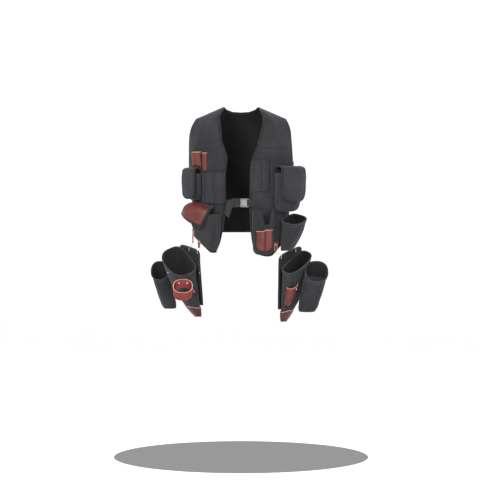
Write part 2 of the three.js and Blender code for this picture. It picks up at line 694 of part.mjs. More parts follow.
function tubeLoops(tube, levels) {
  return levels.map(({ down, width, grow }) => {
    const loop = [];
    const middle = tube.mouth.clone().lerp(tube.end, down);
    for (let k = 0; k < LOOP_POINTS; k += 1) {
      const turn = (2 * Math.PI * k) / LOOP_POINTS;
      const halfWidth = tube.halfWidth * width + grow;
      const halfDepth = tube.halfDepth * width + grow;
      const dx = halfWidth * signedPower(Math.cos(turn), 2 / TUBE_ROUND);
      const dy = halfDepth * signedPower(Math.sin(turn), 2 / TUBE_ROUND);
      const dz = tube.slope * dy * lerp(1, tube.endSlope, down);
      loop.push(new THREE.Vector3(middle.x + dx, middle.y + dy, middle.z + dz));
    }
    return loop;
  });
}

function addTube(name, tube, finish, wall) {
  const length = tube.mouth.z - tube.end.z;
  const inner = TUBE_LEVELS.map((row) =>
    ({ ...row, down: Math.min(row.down, 1 - (1.5 * wall) / length), grow: -wall }));
  const geometry = tubeBetween(tubeLoops(tube, TUBE_LEVELS), tubeLoops(tube, inner), true);
  return addMesh(vest, name, geometry, finish);
}

// A mouth's middle lies beside a bag, at a turn round the bag's mouth and a distance off it.
function besideBag(bag, turn, stand, z) {
  return conePoint(bag, 0, radians(turn), stand).setZ(z);
}

const TUBE_SIZE_R = { halfWidth: 33, halfDepth: 33, slope: 1.05, endSlope: 0.1 };
// The bag narrows below its mouth, so the tube's middle lies closer to the mouth than its half width.
const TUBE_TUCK = 20.3;
const TUBE_MOUTH_R = besideBag(HIP_BAG_R, 145, TUBE_SIZE_R.halfWidth - TUBE_TUCK, -619);
const TUBE_RUN = new THREE.Vector3(40, -6, -145);
const TUBE_HOLSTER_R = {
  ...TUBE_SIZE_R, mouth: TUBE_MOUTH_R, end: TUBE_MOUTH_R.clone().add(TUBE_RUN),
};
addTube('tube_holster_r', TUBE_HOLSTER_R, NYLON, BAG_CLOTH);
const OUTER_SIZE_L = { halfWidth: 43, halfDepth: 38, slope: 1.0, endSlope: 0.1 };
const OUTER_MOUTH_L = besideBag(HIP_BAG_L, 98, OUTER_SIZE_L.halfWidth + RIM + GAP, -620);
const OUTER_RUN = new THREE.Vector3(-38, 6, -154);
const OUTER_POUCH_L = {
  ...OUTER_SIZE_L, mouth: OUTER_MOUTH_L, end: OUTER_MOUTH_L.clone().add(OUTER_RUN),
};
addTube('outer_pouch_l', OUTER_POUCH_L, NYLON, BAG_CLOTH);

// Leather band that is riveted to the front of the right bag and open at both ends.
const TOOL_RING_R = {
  mouth: new THREE.Vector3(-224, -159.4, -673), end: new THREE.Vector3(-224, -157, -704),
  halfWidth: 38, halfDepth: 30, slope: 0.85, endSlope: 1,
};
const RING_LEVELS = [0, 0.5, 1].map((down) => ({ down, width: 1 - 0.06 * down, grow: 0 }));
addMesh(vest, 'leather_tool_ring_r', tubeBetween(
  tubeLoops(TOOL_RING_R, RING_LEVELS),
  tubeLoops(TOOL_RING_R, RING_LEVELS.map((row) => ({ ...row, grow: -LEATHER }))),
  false,
), BURGUNDY);

// Patches on a cone: turns in degrees round it, down in shares of its height.
function conePatchGrid(bag, patch) {
  const grid = [];
  for (let i = 0; i <= patch.rows; i += 1) {
    const share = i / patch.rows;
    const narrow = Math.sqrt(Math.max(1 - share ** patch.taper, 0));
    const stand = patch.depth * Math.max(1 - share ** 4, 0) ** 0.5;
    const row = [];
    for (let j = 0; j <= patch.columns; j += 1) {
      const across = -Math.cos((Math.PI * j) / patch.columns);
      const middle = lerp(patch.turn, patch.endTurn ?? patch.turn, share);
      const turn = middle + patch.halfTurn * across * lerp(patch.endWidth, 1, narrow);
      const bulge = stand * Math.sqrt(Math.max(1 - across ** 2, 0));
      const down = lerp(patch.top, patch.bottom, share);
      row.push(conePoint(bag, down, radians(turn), patch.lift + bulge));
    }
    grid.push(patch.mirror ? row.reverse() : row);
  }
  return grid;
}

const PLIER_HOLSTER_L = {
  turn: 42, endTurn: 44, halfTurn: 26, top: 0.3, bottom: 0.72, rows: 6, columns: 8,
  depth: 15, taper: 3, endWidth: 0.25, lift: GAP + 0.3, mirror: false,
};
addMesh(vest, 'plier_holster_l', sheet(conePatchGrid(HIP_BAG_L, PLIER_HOLSTER_L), LEATHER), BURGUNDY);
const STRIP_R = {
  turn: 7, endTurn: 3, halfTurn: 5, top: 0.2, bottom: 0.5, rows: 3, columns: 2,
  depth: 0, taper: 60, endWidth: 1, lift: GAP + 0.3, mirror: true,
};
addMesh(vest, 'leather_strip_r', sheet(conePatchGrid(HIP_BAG_R, STRIP_R), LEATHER), BURGUNDY);

// Front strap: webbing from each front panel, a slider and a side-release buckle.
const STRAP_LEVEL = 353;
const STRAP_WIDTH = 25;
const STRAP_COLUMNS = 4;
const BEHIND_PANEL = -(WEBBING + GAP);

// Webbing that runs across the front: stations hold a place from the front middle and the
// distance out from the trunk.
function webbingGrid(stations) {
  const grid = [];
  for (let k = 0; k <= STRAP_COLUMNS; k += 1) {
    const z = -(STRAP_LEVEL + STRAP_WIDTH * (k / STRAP_COLUMNS - 0.5));
    grid.push(stations.map(({ girth, out }) => onTrunk(girth, z, out)));
  }
  return grid;
}

const BAR = 3;
const SLOT = 5.5;
const SLIDER = {
  middle: -26.5, width: 3 * BAR + 2 * SLOT, height: STRAP_WIDTH + 9, thickness: 2, out: 2.9,
};
const SLIDER_START = SLIDER.middle - SLIDER.width / 2;
const SLIDER_END = SLIDER.middle + SLIDER.width / 2;
const OVER_SLIDER = SLIDER.out + SLIDER.thickness + 3 * GAP;
const UNDER_SLIDER = 0.2;
const BEND_ROOM = WEBBING + GAP;
addMesh(vest, 'strap_r', sheet(webbingGrid([
  { girth: -86, out: BEHIND_PANEL },
  { girth: -64, out: BEHIND_PANEL },
  { girth: -52, out: -1 },
  { girth: SLIDER_START - 1, out: UNDER_SLIDER },
  { girth: SLIDER_START + BAR + BEND_ROOM, out: UNDER_SLIDER },
  { girth: SLIDER.middle - BAR / 2 - 2 * GAP, out: OVER_SLIDER },
  { girth: SLIDER.middle + BAR / 2 + 2 * GAP, out: OVER_SLIDER },
  { girth: SLIDER_END - BAR - BEND_ROOM, out: UNDER_SLIDER },
  { girth: SLIDER_END - 1, out: UNDER_SLIDER },
]), WEBBING), BINDING);

function roundedCorners(width, height, radius) {
  const steps = 3;
  const points = [];
  for (let corner = 0; corner < 4; corner += 1) {
    const sideX = corner === 0 || corner === 3 ? 1 : -1;
    const sideY = corner < 2 ? 1 : -1;
    for (let k = 0; k <= steps; k += 1) {
      const turn = (Math.PI / 2) * (corner + k / steps);
      points.push(new THREE.Vector2(
        sideX * (width / 2 - radius) + radius * Math.cos(turn),
        sideY * (height / 2 - radius) + radius * Math.sin(turn),
      ));
    }
  }
  return points;
}

const WINDOW_BOW = 0.3;

// Flat plate across the front with windows cut through it, from an outline in millimetres.
function frontPlate(name, spec, finish) {
  const outline = new THREE.Shape(roundedCorners(spec.width, spec.height, spec.radius));
  for (const { at, width, height } of spec.windows) {
    const halfWide = width / 2;
    const halfHigh = height / 2;
    outline.holes.push(new THREE.Path([
      new THREE.Vector2(at - halfWide, -halfHigh),
      new THREE.Vector2(at - halfWide - WINDOW_BOW, 0),
      new THREE.Vector2(at - halfWide, halfHigh),
      new THREE.Vector2(at + halfWide, halfHigh),
      new THREE.Vector2(at + halfWide + WINDOW_BOW, 0),
      new THREE.Vector2(at + halfWide, -halfHigh),
    ]));
  }
  const geometry = new THREE.ExtrudeGeometry(outline, {
    depth: spec.thickness, bevelEnabled: false, curveSegments: 3,
  });
  const mesh = addMesh(vest, name, geometry, finish);
  mesh.rotation.x = Math.PI / 2;
  mesh.position.copy(onTrunk(spec.middle, -STRAP_LEVEL, spec.out));
  return mesh;
}

frontPlate('strap_slider', {
  ...SLIDER, radius: 2.5,
  windows: [-1, 1].map((side) => ({
    at: side * (BAR + SLOT) / 2, width: SLOT, height: STRAP_WIDTH + 3,
  })),
}, BLACK_PLASTIC);

const MALE_START = SLIDER_END + 0.8;
const MALE = { width: 12, height: STRAP_WIDTH + 7, thickness: 6, out: 1.6 };
const FEMALE = { width: 34, height: STRAP_WIDTH + 9, thickness: 11, out: 0.8 };
frontPlate('buckle_male', {
  ...MALE, middle: MALE_START + MALE.width / 2, radius: 3,
  windows: [{ at: -MALE.width / 2 + 4.5, width: 3, height: STRAP_WIDTH + 1 }],
}, BLACK_PLASTIC);
const FEMALE_START = MALE_START + MALE.width + GAP;
frontPlate('buckle_female', {
  ...FEMALE, middle: FEMALE_START + FEMALE.width / 2, radius: 4,
  windows: [{ at: FEMALE.width / 2 - 5, width: 4, height: STRAP_WIDTH + 1 }],
}, GREY_PLASTIC);

// Loop of webbing that is sewn to the left panel and holds the buckle's end bar.
const FEMALE_END = FEMALE_START + FEMALE.width;
const OVER_FEMALE = FEMALE.out + FEMALE.thickness + 5 * GAP;
addMesh(vest, 'strap_l', sheet(webbingGrid([
  { girth: FEMALE_END - 6, out: OVER_FEMALE },
  { girth: FEMALE_END, out: OVER_FEMALE },
  { girth: FEMALE_END + 3.5, out: OVER_FEMALE - 2 },
  { girth: FEMALE_END + 5.5, out: FEMALE.thickness / 2 },
  { girth: FEMALE_END + 9, out: ON_PANEL + GAP },
  { girth: FEMALE_END + 21, out: ON_PANEL + GAP },
]), WEBBING), BINDING);

// Free end of the webbing, which hangs from the slider in a loose bend.
const TAIL = [
  { x: -34, z: -342, out: OVER_SLIDER + WEBBING + 2 * GAP, turn: -8 },
  { x: -40, z: -354, out: OVER_SLIDER + 5, turn: -14 },
  { x: -46, z: -372, out: OVER_SLIDER + 9, turn: -24 },
  { x: -50, z: -390, out: OVER_SLIDER + 10, turn: -36 },
  { x: -55, z: -403, out: OVER_SLIDER + 8, turn: -50 },
];
const TAIL_WIDTH = 24;
addMesh(vest, 'strap_tail', sheet(TAIL.map(({ x, z, out, turn }) => {
  const points = [];
  for (let k = 0; k <= 3; k += 1) {
    const across = TAIL_WIDTH * (k / 3 - 0.5);
    const dx = across * Math.cos(radians(turn));
    points.push(onTrunk(x + dx, z + across * Math.sin(radians(turn)), out));
  }
  return points;
}), WEBBING), BINDING);

// Leather tabs at the hem, and the hooks that carry the hip bags.
const TAB_WIDTH = 12;
const HOOK_WIRE = 3;
const HOOK_SIDES = 6;

function tabGrid(place, top, bottom) {
  return [top, lerp(top, bottom, 0.5), bottom].map((z) => [-0.5, 0, 0.5].map((share) =>
    place(share * TAB_WIDTH * (z === bottom ? 0.7 : 1), -z)));
}

function addHook(name, points) {
  const section = new THREE.Shape();
  for (let k = 0; k < HOOK_SIDES; k += 1) {
    const turn = (2 * Math.PI * k) / HOOK_SIDES;
    const x = (HOOK_WIRE / 2) * Math.cos(turn);
    const y = (HOOK_WIRE / 2) * Math.sin(turn);
    if (k === 0) section.moveTo(x, y);
    else section.lineTo(x, y);
  }
  const geometry = new THREE.ExtrudeGeometry(section, {
    steps: 12, extrudePath: new THREE.CatmullRomCurve3(points), bevelEnabled: false,
  });
  addMesh(vest, name, geometry, STEEL);
}

// The hook leaves the tab's end, passes over the bag's back and ends in front of it.
function addClip(spec) {
  const { name, bag, backTop, u, tabPlace, tabTop, tabBottom } = spec;
  addMesh(vest, `clip_tab_${name}`, sheet(tabGrid(tabPlace, tabTop, tabBottom), LEATHER), BURGUNDY);
  const place = pouchFrame(bag);
  const edge = lerp(backTop.rear, backTop.front, (u / bag.halfWidth + 1) / 2);
  const face = -(RIM + 2 * GAP);
  const over = HOOK_WIRE / 2 + 4 * GAP;
  const from = tabPlace(0, -tabBottom);
  from.z -= HOOK_WIRE / 2 + GAP;
  addHook(`hook_${name}`, [
    from,
    place(u, face - BAG_CLOTH - over, -(edge - over)),
    place(u, face - BAG_CLOTH / 2, -(edge - 2 * over)),
    place(u, face + over, -(edge + 2)),
    place(u, face + over, -(edge + 16)),
  ]);
}

const CLIPS = [
  {
    name: 'front_r', bag: HIP_BAG_R, backTop: BACK_TOP_R, u: 66, tabTop: 496, tabBottom: 528,
    tabPlace: (across, z) => onTrunk(-170 + across, z, ON_PANEL + GAP),
  },
  {
    name: 'rear_r', bag: HIP_BAG_R, backTop: BACK_TOP_R, u: 4, tabTop: 452, tabBottom: 510,
    tabPlace: (across, z) => onTrunk(-212 + across, z, ON_PANEL + GAP),
  },
  {
    name: 'front_l', bag: HIP_BAG_L, backTop: BACK_TOP_L, u: 66, tabTop: 506, tabBottom: 542,
    tabPlace: (across, z) => onTrunk(136 + across, z, ON_PANEL + GAP),
  },
  {
    name: 'rear_l', bag: HIP_BAG_L, backTop: BACK_TOP_L, u: -30, tabTop: 462, tabBottom: 520,
    tabPlace: (across, z) => onTrunk(240 + across, z, ON_PANEL + GAP),
  },
];
CLIPS.forEach(addClip);

export default vest;
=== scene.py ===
import math

import bpy
import numpy as np
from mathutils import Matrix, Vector, noise


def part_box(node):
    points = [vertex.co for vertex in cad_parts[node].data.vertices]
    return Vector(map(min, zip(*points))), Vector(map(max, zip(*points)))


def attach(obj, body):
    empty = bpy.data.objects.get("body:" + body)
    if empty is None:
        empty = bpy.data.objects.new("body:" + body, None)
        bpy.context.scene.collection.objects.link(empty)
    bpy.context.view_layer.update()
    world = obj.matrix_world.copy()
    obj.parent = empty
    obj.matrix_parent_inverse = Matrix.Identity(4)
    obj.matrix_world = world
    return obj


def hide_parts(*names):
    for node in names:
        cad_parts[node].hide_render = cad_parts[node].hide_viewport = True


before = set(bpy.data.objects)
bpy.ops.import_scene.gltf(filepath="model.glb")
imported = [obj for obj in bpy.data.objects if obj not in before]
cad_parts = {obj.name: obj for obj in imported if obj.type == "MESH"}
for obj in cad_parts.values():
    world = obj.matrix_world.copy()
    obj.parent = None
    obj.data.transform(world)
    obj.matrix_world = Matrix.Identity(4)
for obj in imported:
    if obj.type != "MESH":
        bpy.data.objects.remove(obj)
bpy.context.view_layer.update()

# Sizes in millimetres; meshes are written in metres. +X is the wearer's left, -Y their front.
CLOTH = 2.4
POCKET_CLOTH = 1.8
LEATHER = 2.5
BAG_CLOTH = 3.0
WEBBING = 1.5
GAP = 0.3
ON_PANEL = CLOTH + GAP
FLAP_SEAT = ON_PANEL + 0.5
TAPE = 0.9
TAPE_WIDTH = 9.0

TRUNK_LENGTH = 560
CHEST_HALF_WIDTH = 203
CHEST_HALF_DEPTH = 122
SQUARENESS = 2.3
CHEST_LEVEL = -0.32 * TRUNK_LENGTH
TRUNK = [
    dict(down=0.32, width=1.0, depth=1.0),
    dict(down=0.45, width=0.98, depth=0.99),
    dict(down=0.6, width=0.94, depth=0.95),
    dict(down=0.72, width=0.92, depth=0.93),
    dict(down=0.85, width=0.93, depth=0.95),
    dict(down=1.0, width=0.96, depth=1.0),
]
NECK_HALF = 65
NECK_RISE = 21
SHOULDER_SLOPE = 0.436
HEM_AT_SIDE = 470
SEAM_ANGLE = 0.15
CREST_GAP = 0.25


def look_up(table, key, at, column):
    """Value of a column at a place on a table's key column, smooth through its rows."""
    last = len(table) - 1
    if at <= table[0][key]:
        return table[0][column]
    if at >= table[last][key]:
        return table[last][column]
    i = 0
    while at > table[i + 1][key]:
        i += 1

    def slope(k):
        before = table[max(k - 1, 0)]
        after = table[min(k + 1, last)]
        return (after[column] - before[column]) / (after[key] - before[key])

    span = table[i + 1][key] - table[i][key]
    t = (at - table[i][key]) / span
    a, b = table[i][column], table[i + 1][column]
    ease = t * t * (3 - 2 * t)
    start = t * (1 - t) ** 2 * span * slope(i)
    end = t * t * (t - 1) * span * slope(i + 1)
    return a + (b - a) * ease + start + end


def lerp(a, b, t):
    return a + (b - a) * t


def step(low, high, at):
    t = min(max((at - low) / (high - low), 0), 1)
    return t * t * (3 - 2 * t)


def signed_power(value, power):
    return math.copysign(abs(value) ** power, value)


def crest(x):
    return NECK_RISE - SHOULDER_SLOPE * max(abs(x) - NECK_HALF, 0)


def trunk_point(angle, z):
    """Point of the trunk at an angle round it, in degrees from the front towards +X."""
    down = -min(z, CHEST_LEVEL) / TRUNK_LENGTH
    half_width = CHEST_HALF_WIDTH * look_up(TRUNK, "down", down, "width")
    half_depth = CHEST_HALF_DEPTH * look_up(TRUNK, "down", down, "depth")
    turn = math.radians(angle)
    x = half_width * signed_power(math.sin(turn), 2 / SQUARENESS)
    y = -half_depth * signed_power(math.cos(turn), 2 / SQUARENESS)
    if z > CHEST_LEVEL:
        rise = min((z - CHEST_LEVEL) / (crest(x) - CHEST_LEVEL), 1)
        y *= math.sqrt(1 - rise * rise)
    return np.array([x, y, z], float)


def angle_at_share(share):
    return math.degrees(math.asin(share ** (SQUARENESS / 2)))


GIRTH_STEP = 3
girth_tables = {}


def angle_at_girth(girth, z):
    """Angle at a length measured round the trunk from the front middle."""
    level = round(min(z, CHEST_LEVEL), 1)
    if level not in girth_tables:
        lengths = [0.0]
        for angle in range(GIRTH_STEP, 181, GIRTH_STEP):
            chord = trunk_point(angle, level) - trunk_point(angle - GIRTH_STEP, level)
            lengths.append(lengths[-1] + float(np.linalg.norm(chord)))
        girth_tables[level] = lengths
    lengths = girth_tables[level]
    length = abs(girth)
    i = 0
    while i < len(lengths) - 2 and lengths[i + 1] < length:
        i += 1
    share = (length - lengths[i]) / (lengths[i + 1] - lengths[i])
    return math.copysign(GIRTH_STEP * (i + share), girth)


def on_trunk(girth, z, out):
    """Point at a height and girth, a distance out from the trunk."""
    angle = angle_at_girth(girth, z)
    level = min(z, CHEST_LEVEL)
    along = trunk_point(angle + 1, level) - trunk_point(angle - 1, level)
    normal = np.array([along[1], -along[0], 0.0])
    normal /= np.linalg.norm(normal)
    return trunk_point(angle, z) + normal * out


# Surfaces as grids of points, and the solids made of them.


def unit(vectors):
    length = np.linalg.norm(vectors, axis=-1, keepdims=True)
    return vectors / np.maximum(length, 1e-9)


def grid_normals(grid, ring=False):
    fall = np.gradient(grid, axis=0)
    if ring:
        right = np.roll(grid, -1, axis=1) - np.roll(grid, 1, axis=1)
    else:
        right = np.gradient(grid, axis=1)
    return unit(np.cross(fall, right))


def lengths_along(path):
    """Length from a path's start to each of its points."""
    return np.concatenate([[0], np.cumsum(np.linalg.norm(np.diff(path, axis=0), axis=-1))])


def arc_lengths(grid):
    """Length along the rows and down the columns of a grid, for the weave."""
    across = np.linalg.norm(np.diff(grid, axis=1), axis=-1)
    down = np.linalg.norm(np.diff(grid, axis=0), axis=-1)
    u = np.zeros(grid.shape[:2])
    v = np.zeros(grid.shape[:2])
    u[:, 1:] = np.cumsum(across, axis=1)
    u -= u[:, grid.shape[1] // 2 : grid.shape[1] // 2 + 1]
    v[1:] = np.cumsum(down, axis=0)
    return np.stack([u, v], axis=-1)


def crumple(grid, height, size, seed):
    """Soft unevenness of cloth, along the grid's normals."""
    normals = grid_normals(grid)
    out = grid.copy()
    for i in range(grid.shape[0]):
        for j in range(grid.shape[1]):
            p = Vector(grid[i, j] / size)
            p += Vector((seed * 7.3, seed * 3.1, seed * 5.7))
            out[i, j] += normals[i, j] * height * noise.fractal(p, 0.9, 2.1, 3)
    return out


def build(name, points, faces, uv, materials, marks, smooth_angle=38):
    """A mesh object from points in millimetres, riding with the vest."""
    mesh = bpy.data.meshes.new(name)
    mesh.from_pydata([tuple(p / 1000.0) for p in points], [], faces)
    if uv is not None:
        layer = mesh.uv_layers.new(name="UVMap")
        corners = np.empty(len(mesh.loops), dtype=np.int32)
        mesh.loops.foreach_get("vertex_index", corners)
        layer.data.foreach_set("uv", (uv[corners] / 1000.0).astype(np.float32).ravel())
    for material in materials:
        mesh.materials.append(material)
    mesh.polygons.foreach_set("material_index", np.array(marks, dtype=np.int32))
    mesh.polygons.foreach_set("use_smooth", np.ones(len(faces), dtype=bool))
    mesh.update()
    mesh.set_sharp_from_angle(angle=math.radians(smooth_angle))
    piece = bpy.data.objects.new(name, mesh)
    bpy.context.scene.collection.objects.link(piece)
    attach(piece, "root")
    return piece


def facing_out(points, faces):
    volume = 0.0
    for face in faces:
        a = points[face[0]]
        for k in range(1, len(face) - 1):
            volume += float(np.dot(a, np.cross(points[face[k]], points[face[k + 1]])))
    return faces if volume > 0 else [tuple(reversed(face)) for face in faces]


cut_sizes = {}


def ring_normals(outer):
    """Normals of a ring of points that lead away from its middle."""
    normals = grid_normals(outer, ring=True)
    if np.einsum("ijk,ijk->ij", normals, outer - outer.mean(axis=(0, 1))).mean() < 0:
        normals = -normals
    return normals


def note_cut(name, piece, grid):
    """Keeps the flat size of a wall's cloth: its widest row, longest column and area."""
    across = np.linalg.norm(np.diff(grid, axis=1), axis=-1)
    down = np.linalg.norm(np.diff(grid, axis=0), axis=-1)
    first = np.cross(grid[1:, :-1] - grid[:-1, :-1], grid[:-1, 1:] - grid[:-1, :-1])
    second = np.cross(grid[1:, :-1] - grid[1:, 1:], grid[:-1, 1:] - grid[1:, 1:])
    area = (np.linalg.norm(first, axis=-1).sum() + np.linalg.norm(second, axis=-1).sum()) / 2
    cut_sizes[name] = (piece, float(across.sum(axis=1).max()) / 1000,
                             float(down.sum(axis=0).max()) / 1000, float(area) / 1e6)


def wall(name, grid, thickness, materials, edge=0, ring=False, closed=False, inner=None):
    """Cloth or leather wall outside a grid of points. edge is the material of its cut edges.
    A ring's last column joins its first. A closed one has an end at its last row.
    Nylon's inside faces take a darker nylon: painted shade, where shade falls inside
    pockets and bags."""
    # Inside faces of nylon get the darker nylon: painted shade.
    inside = 0
    if materials[0] is NYLON:
        inside = len(materials)
        materials = [*materials, PAINTED_SHADE_NYLON]
    normals = grid_normals(grid, ring)
    if np.ndim(thickness) == 2:
        thickness = thickness[:, :, None]
    outer = grid + normals * thickness
    if inner is not None:
        outer, grid = grid, inner
    rows, columns = grid.shape[:2]
    points = np.concatenate([grid.reshape(-1, 3), outer.reshape(-1, 3)])
    uv = arc_lengths(grid).reshape(-1, 2)
    uv = np.concatenate([uv, uv])
    faces, marks = [], []

    def at(side, i, j):
        return side * rows * columns + i * columns + (j % columns)

    def add(mark, *corners):
        faces.append(corners)
        marks.append(mark)

    span = columns if ring else columns - 1
    for i in range(rows - 1):
        for j in range(span):
            add(0, at(1, i, j), at(1, i + 1, j), at(1, i + 1, j + 1), at(1, i, j + 1))
            add(inside, at(0, i, j), at(0, i, j + 1), at(0, i + 1, j + 1), at(0, i + 1, j))
    for j in range(span):
        add(edge, at(0, 0, j), at(1, 0, j), at(1, 0, j + 1), at(0, 0, j + 1))
        if not closed:
            end = rows - 1
            add(edge, at(0, end, j), at(0, end, j + 1), at(1, end, j + 1), at(1, end, j))
    if not ring:
        for i in range(rows - 1):
            end = columns - 1
            add(edge, at(0, i, 0), at(0, i + 1, 0), at(1, i + 1, 0), at(1, i, 0))
            add(edge, at(0, i, end), at(1, i, end), at(1, i + 1, end), at(0, i + 1, end))
    if closed:
        for side in (0, 1):
            loop = [at(side, rows - 1, j) for j in range(columns)]
            middle = points[loop].mean(axis=0)
            points = np.concatenate([points, middle[None]])
            uv = np.concatenate([uv, uv[loop].mean(axis=0)[None]])
            for j in range(columns):
                a, b = loop[j], loop[(j + 1) % columns]
                add(0 if side else inside,
                    *((a, b, len(points) - 1) if side else (b, a, len(points) - 1)))
    piece = build(name, points, facing_out(points, faces), uv, materials, marks)
    note_cut(name, piece, grid)
    return piece


def resample(path, spacing, extra=()):
    """Evenly spaced points of a path, with other values along it."""
    lengths = lengths_along(path)
    count = max(int(lengths[-1] / spacing), 1) + 1
    at = np.linspace(0, lengths[-1], count)

    def along(values):
        return np.stack([np.interp(at, lengths, values[:, k]) for k in range(3)], axis=-1)

    return [along(path), *(along(values) for values in extra)]


def tape(name, path, normals, inwards, cloth, width=TAPE_WIDTH, thick=TAPE):
    """Tape folded over a cloth edge: a flat C round the edge of a wall that lies outside path."""
    path, normals, inwards = resample(path, 4.0, (normals, inwards))
    normals, inwards = unit(normals), unit(inwards)
    profile = [
        (width, cloth), (width, cloth + thick), (width * 0.5, cloth + thick * 1.15),
        (0.4, cloth + thick), (-thick * 0.8, cloth + thick * 0.5), (-thick, cloth * 0.5),
        (-thick * 0.8, -thick * 0.5), (0.4, -thick), (width, -thick), (width, 0),
        (0.25, 0.0), (0.25, cloth),
    ]
    grid = np.stack([path + inwards * a + normals * b for a, b in profile], axis=1)
    rows, columns = grid.shape[:2]
    points = grid.reshape(-1, 3)
    faces = []
    for i in range(rows - 1):
        for j in range(columns):
            k = (j + 1) % columns
            row, below = i * columns, (i + 1) * columns
            faces.append((row + j, below + j, below + k, row + k))
    faces.append(tuple(range(columns - 1, -1, -1)))
    faces.append(tuple((rows - 1) * columns + j for j in range(columns)))
    uv = arc_lengths(grid).reshape(-1, 2)
    return build(name, points, facing_out(points, faces), uv, [BINDING], [0] * len(faces))


def stitch_rows(name, rows, pitch=3.4, length=2.5, thread=0.55, colour=None):
    """Stitches along paths that lie on the cloth: rows hold a path and its normals."""
    points, faces = [], []
    for path, normals in rows:
        path, normals = resample(path, pitch, (normals,))
        if len(path) < 3:
            continue
        along = unit(np.gradient(path, axis=0))
        normals = unit(normals)
        side = unit(np.cross(normals, along))
        for p, a, n, s in zip(path[1:-1], along[1:-1], normals[1:-1], side[1:-1]):
            first = len(points)
            for da, dn, ds in ((-0.5, 0.05, 0), (0, 0.4, 0.5), (0, 0.4, -0.5), (0, 0.75, 0),
                               (0.5, 0.05, 0)):
                points.append(p + a * da * length + n * dn * thread + s * ds * thread)
            for face in ((0, 1, 3), (0, 3, 2), (4, 3, 1), (4, 2, 3), (0, 2, 1), (4, 1, 2)):
                faces.append(tuple(first + k for k in face))
    points = np.array(points)
    return build(name, points, faces, None, [colour or THREAD], [0] * len(faces), 60)


# Materials.


def node_tree(name, base, roughness, sheen=0.0, metallic=0.0, specular=0.5, coat=0.0):
    material = bpy.data.materials.new(name)
    material.use_nodes = True
    tree = material.node_tree
    shader = tree.nodes["Principled BSDF"]
    shader.inputs["Base Color"].default_value = (*base, 1)
    shader.inputs["Roughness"].default_value = roughness
    shader.inputs["Metallic"].default_value = metallic
    shader.inputs["Specular IOR Level"].default_value = specular
    shader.inputs["Sheen Weight"].default_value = sheen
    shader.inputs["Sheen Roughness"].default_value = 0.45
    shader.inputs["Sheen Tint"].default_value = (0.75, 0.78, 0.85, 1)
    shader.inputs["Coat Weight"].default_value = coat
    shader.inputs["Coat Roughness"].default_value = 0.3
    return material, tree, shader


def add_node(tree, kind, **values):
    node = tree.nodes.new(kind)
    for key, value in values.items():
        if key.startswith("in_"):
            socket = key[3:].replace("_", " ")
            node.inputs[int(socket) if socket.isdigit() else socket].default_value = value
        else:
            setattr(node, key, value)
    return node


def maths(tree, operation, a, b=None):
    node = tree.nodes.new("ShaderNodeMath")
    node.operation = operation
    for k, value in enumerate((a, b)):
        if value is None:
            continue
        if hasattr(value, "node"):
            tree.links.new(value, node.inputs[k])
        else:
            node.inputs[k].default_value = value
    return node.outputs[0]


def over_object(tree, where, kind, **values):
    """Texture that is laid out by the object's own coordinates."""
    texture = add_node(tree, kind, **values)
    tree.links.new(where.outputs["Object"], texture.inputs["Vector"])
    return texture


def bumped(tree, shader, height, strength, depth):
    bump = add_node(tree, "ShaderNodeBump", in_Strength=strength, in_Distance=depth)
    tree.links.new(height, bump.inputs["Height"])
    tree.links.new(bump.outputs["Normal"], shader.inputs["Normal"])


def mottled(tree, shader, dark, light, scale, detail=6.0, seed=0.0, roughness=None):
    """Colour that wanders between two shades over the object."""
    where = add_node(tree, "ShaderNodeTexCoord")
    clouds = add_node(tree, "ShaderNodeTexNoise", noise_dimensions="4D", in_Scale=scale,
                      in_Detail=detail, in_W=seed, in_Roughness=0.6)
    tree.links.new(where.outputs["Object"], clouds.inputs["Vector"])
    ramp = add_node(tree, "ShaderNodeValToRGB")
    ramp.color_ramp.elements[0].position = 0.36
    ramp.color_ramp.elements[0].color = (*dark, 1)
    ramp.color_ramp.elements[1].position = 0.66
    ramp.color_ramp.elements[1].color = (*light, 1)
    tree.links.new(clouds.outputs["Fac"], ramp.inputs["Fac"])
    tree.links.new(ramp.outputs["Color"], shader.inputs["Base Color"])
    if roughness:
        spread = add_node(tree, "ShaderNodeMapRange")
        spread.inputs["To Min"].default_value = roughness[0]
        spread.inputs["To Max"].default_value = roughness[1]
        tree.links.new(clouds.outputs["Fac"], spread.inputs["Value"])
        tree.links.new(spread.outputs["Result"], shader.inputs["Roughness"])
    return where


def woven(name, dark, light, pitch, depth, roughness=0.86, sheen=0.25, seed=0.0, ribs=False):
    """Cloth woven over and under, in threads of a pitch in metres."""
    material, tree, shader = node_tree(name, dark, roughness, sheen, specular=0.25)
    where = mottled(tree, shader, dark, light, 9.0, seed=seed)
    split = add_node(tree, "ShaderNodeSeparateXYZ")
    tree.links.new(where.outputs["UV"], split.inputs[0])
    across = maths(tree, "MULTIPLY", split.outputs["X"], math.pi / pitch)
    down = maths(tree, "MULTIPLY", split.outputs["Y"], math.pi / (pitch * (0.45 if ribs else 1)))
    warp = maths(tree, "ABSOLUTE", maths(tree, "SINE", across))
    weft = maths(tree, "ABSOLUTE", maths(tree, "SINE", down))
    over = maths(tree, "GREATER_THAN",
                 maths(tree, "MULTIPLY", maths(tree, "SINE", across), maths(tree, "SINE", down)),
                 0.0)
    first = maths(tree, "MULTIPLY", warp, over)
    second = maths(tree, "MULTIPLY", weft, maths(tree, "SUBTRACT", 1.0, over))
    height = maths(tree, "ADD", first, second)
    fuzz = over_object(tree, where, "ShaderNodeTexNoise", in_Scale=900.0, in_Detail=3.0)
    total = maths(tree, "ADD", height, maths(tree, "MULTIPLY", fuzz.outputs["Fac"], 0.6))
    bumped(tree, shader, total, 0.75, depth)
    return material


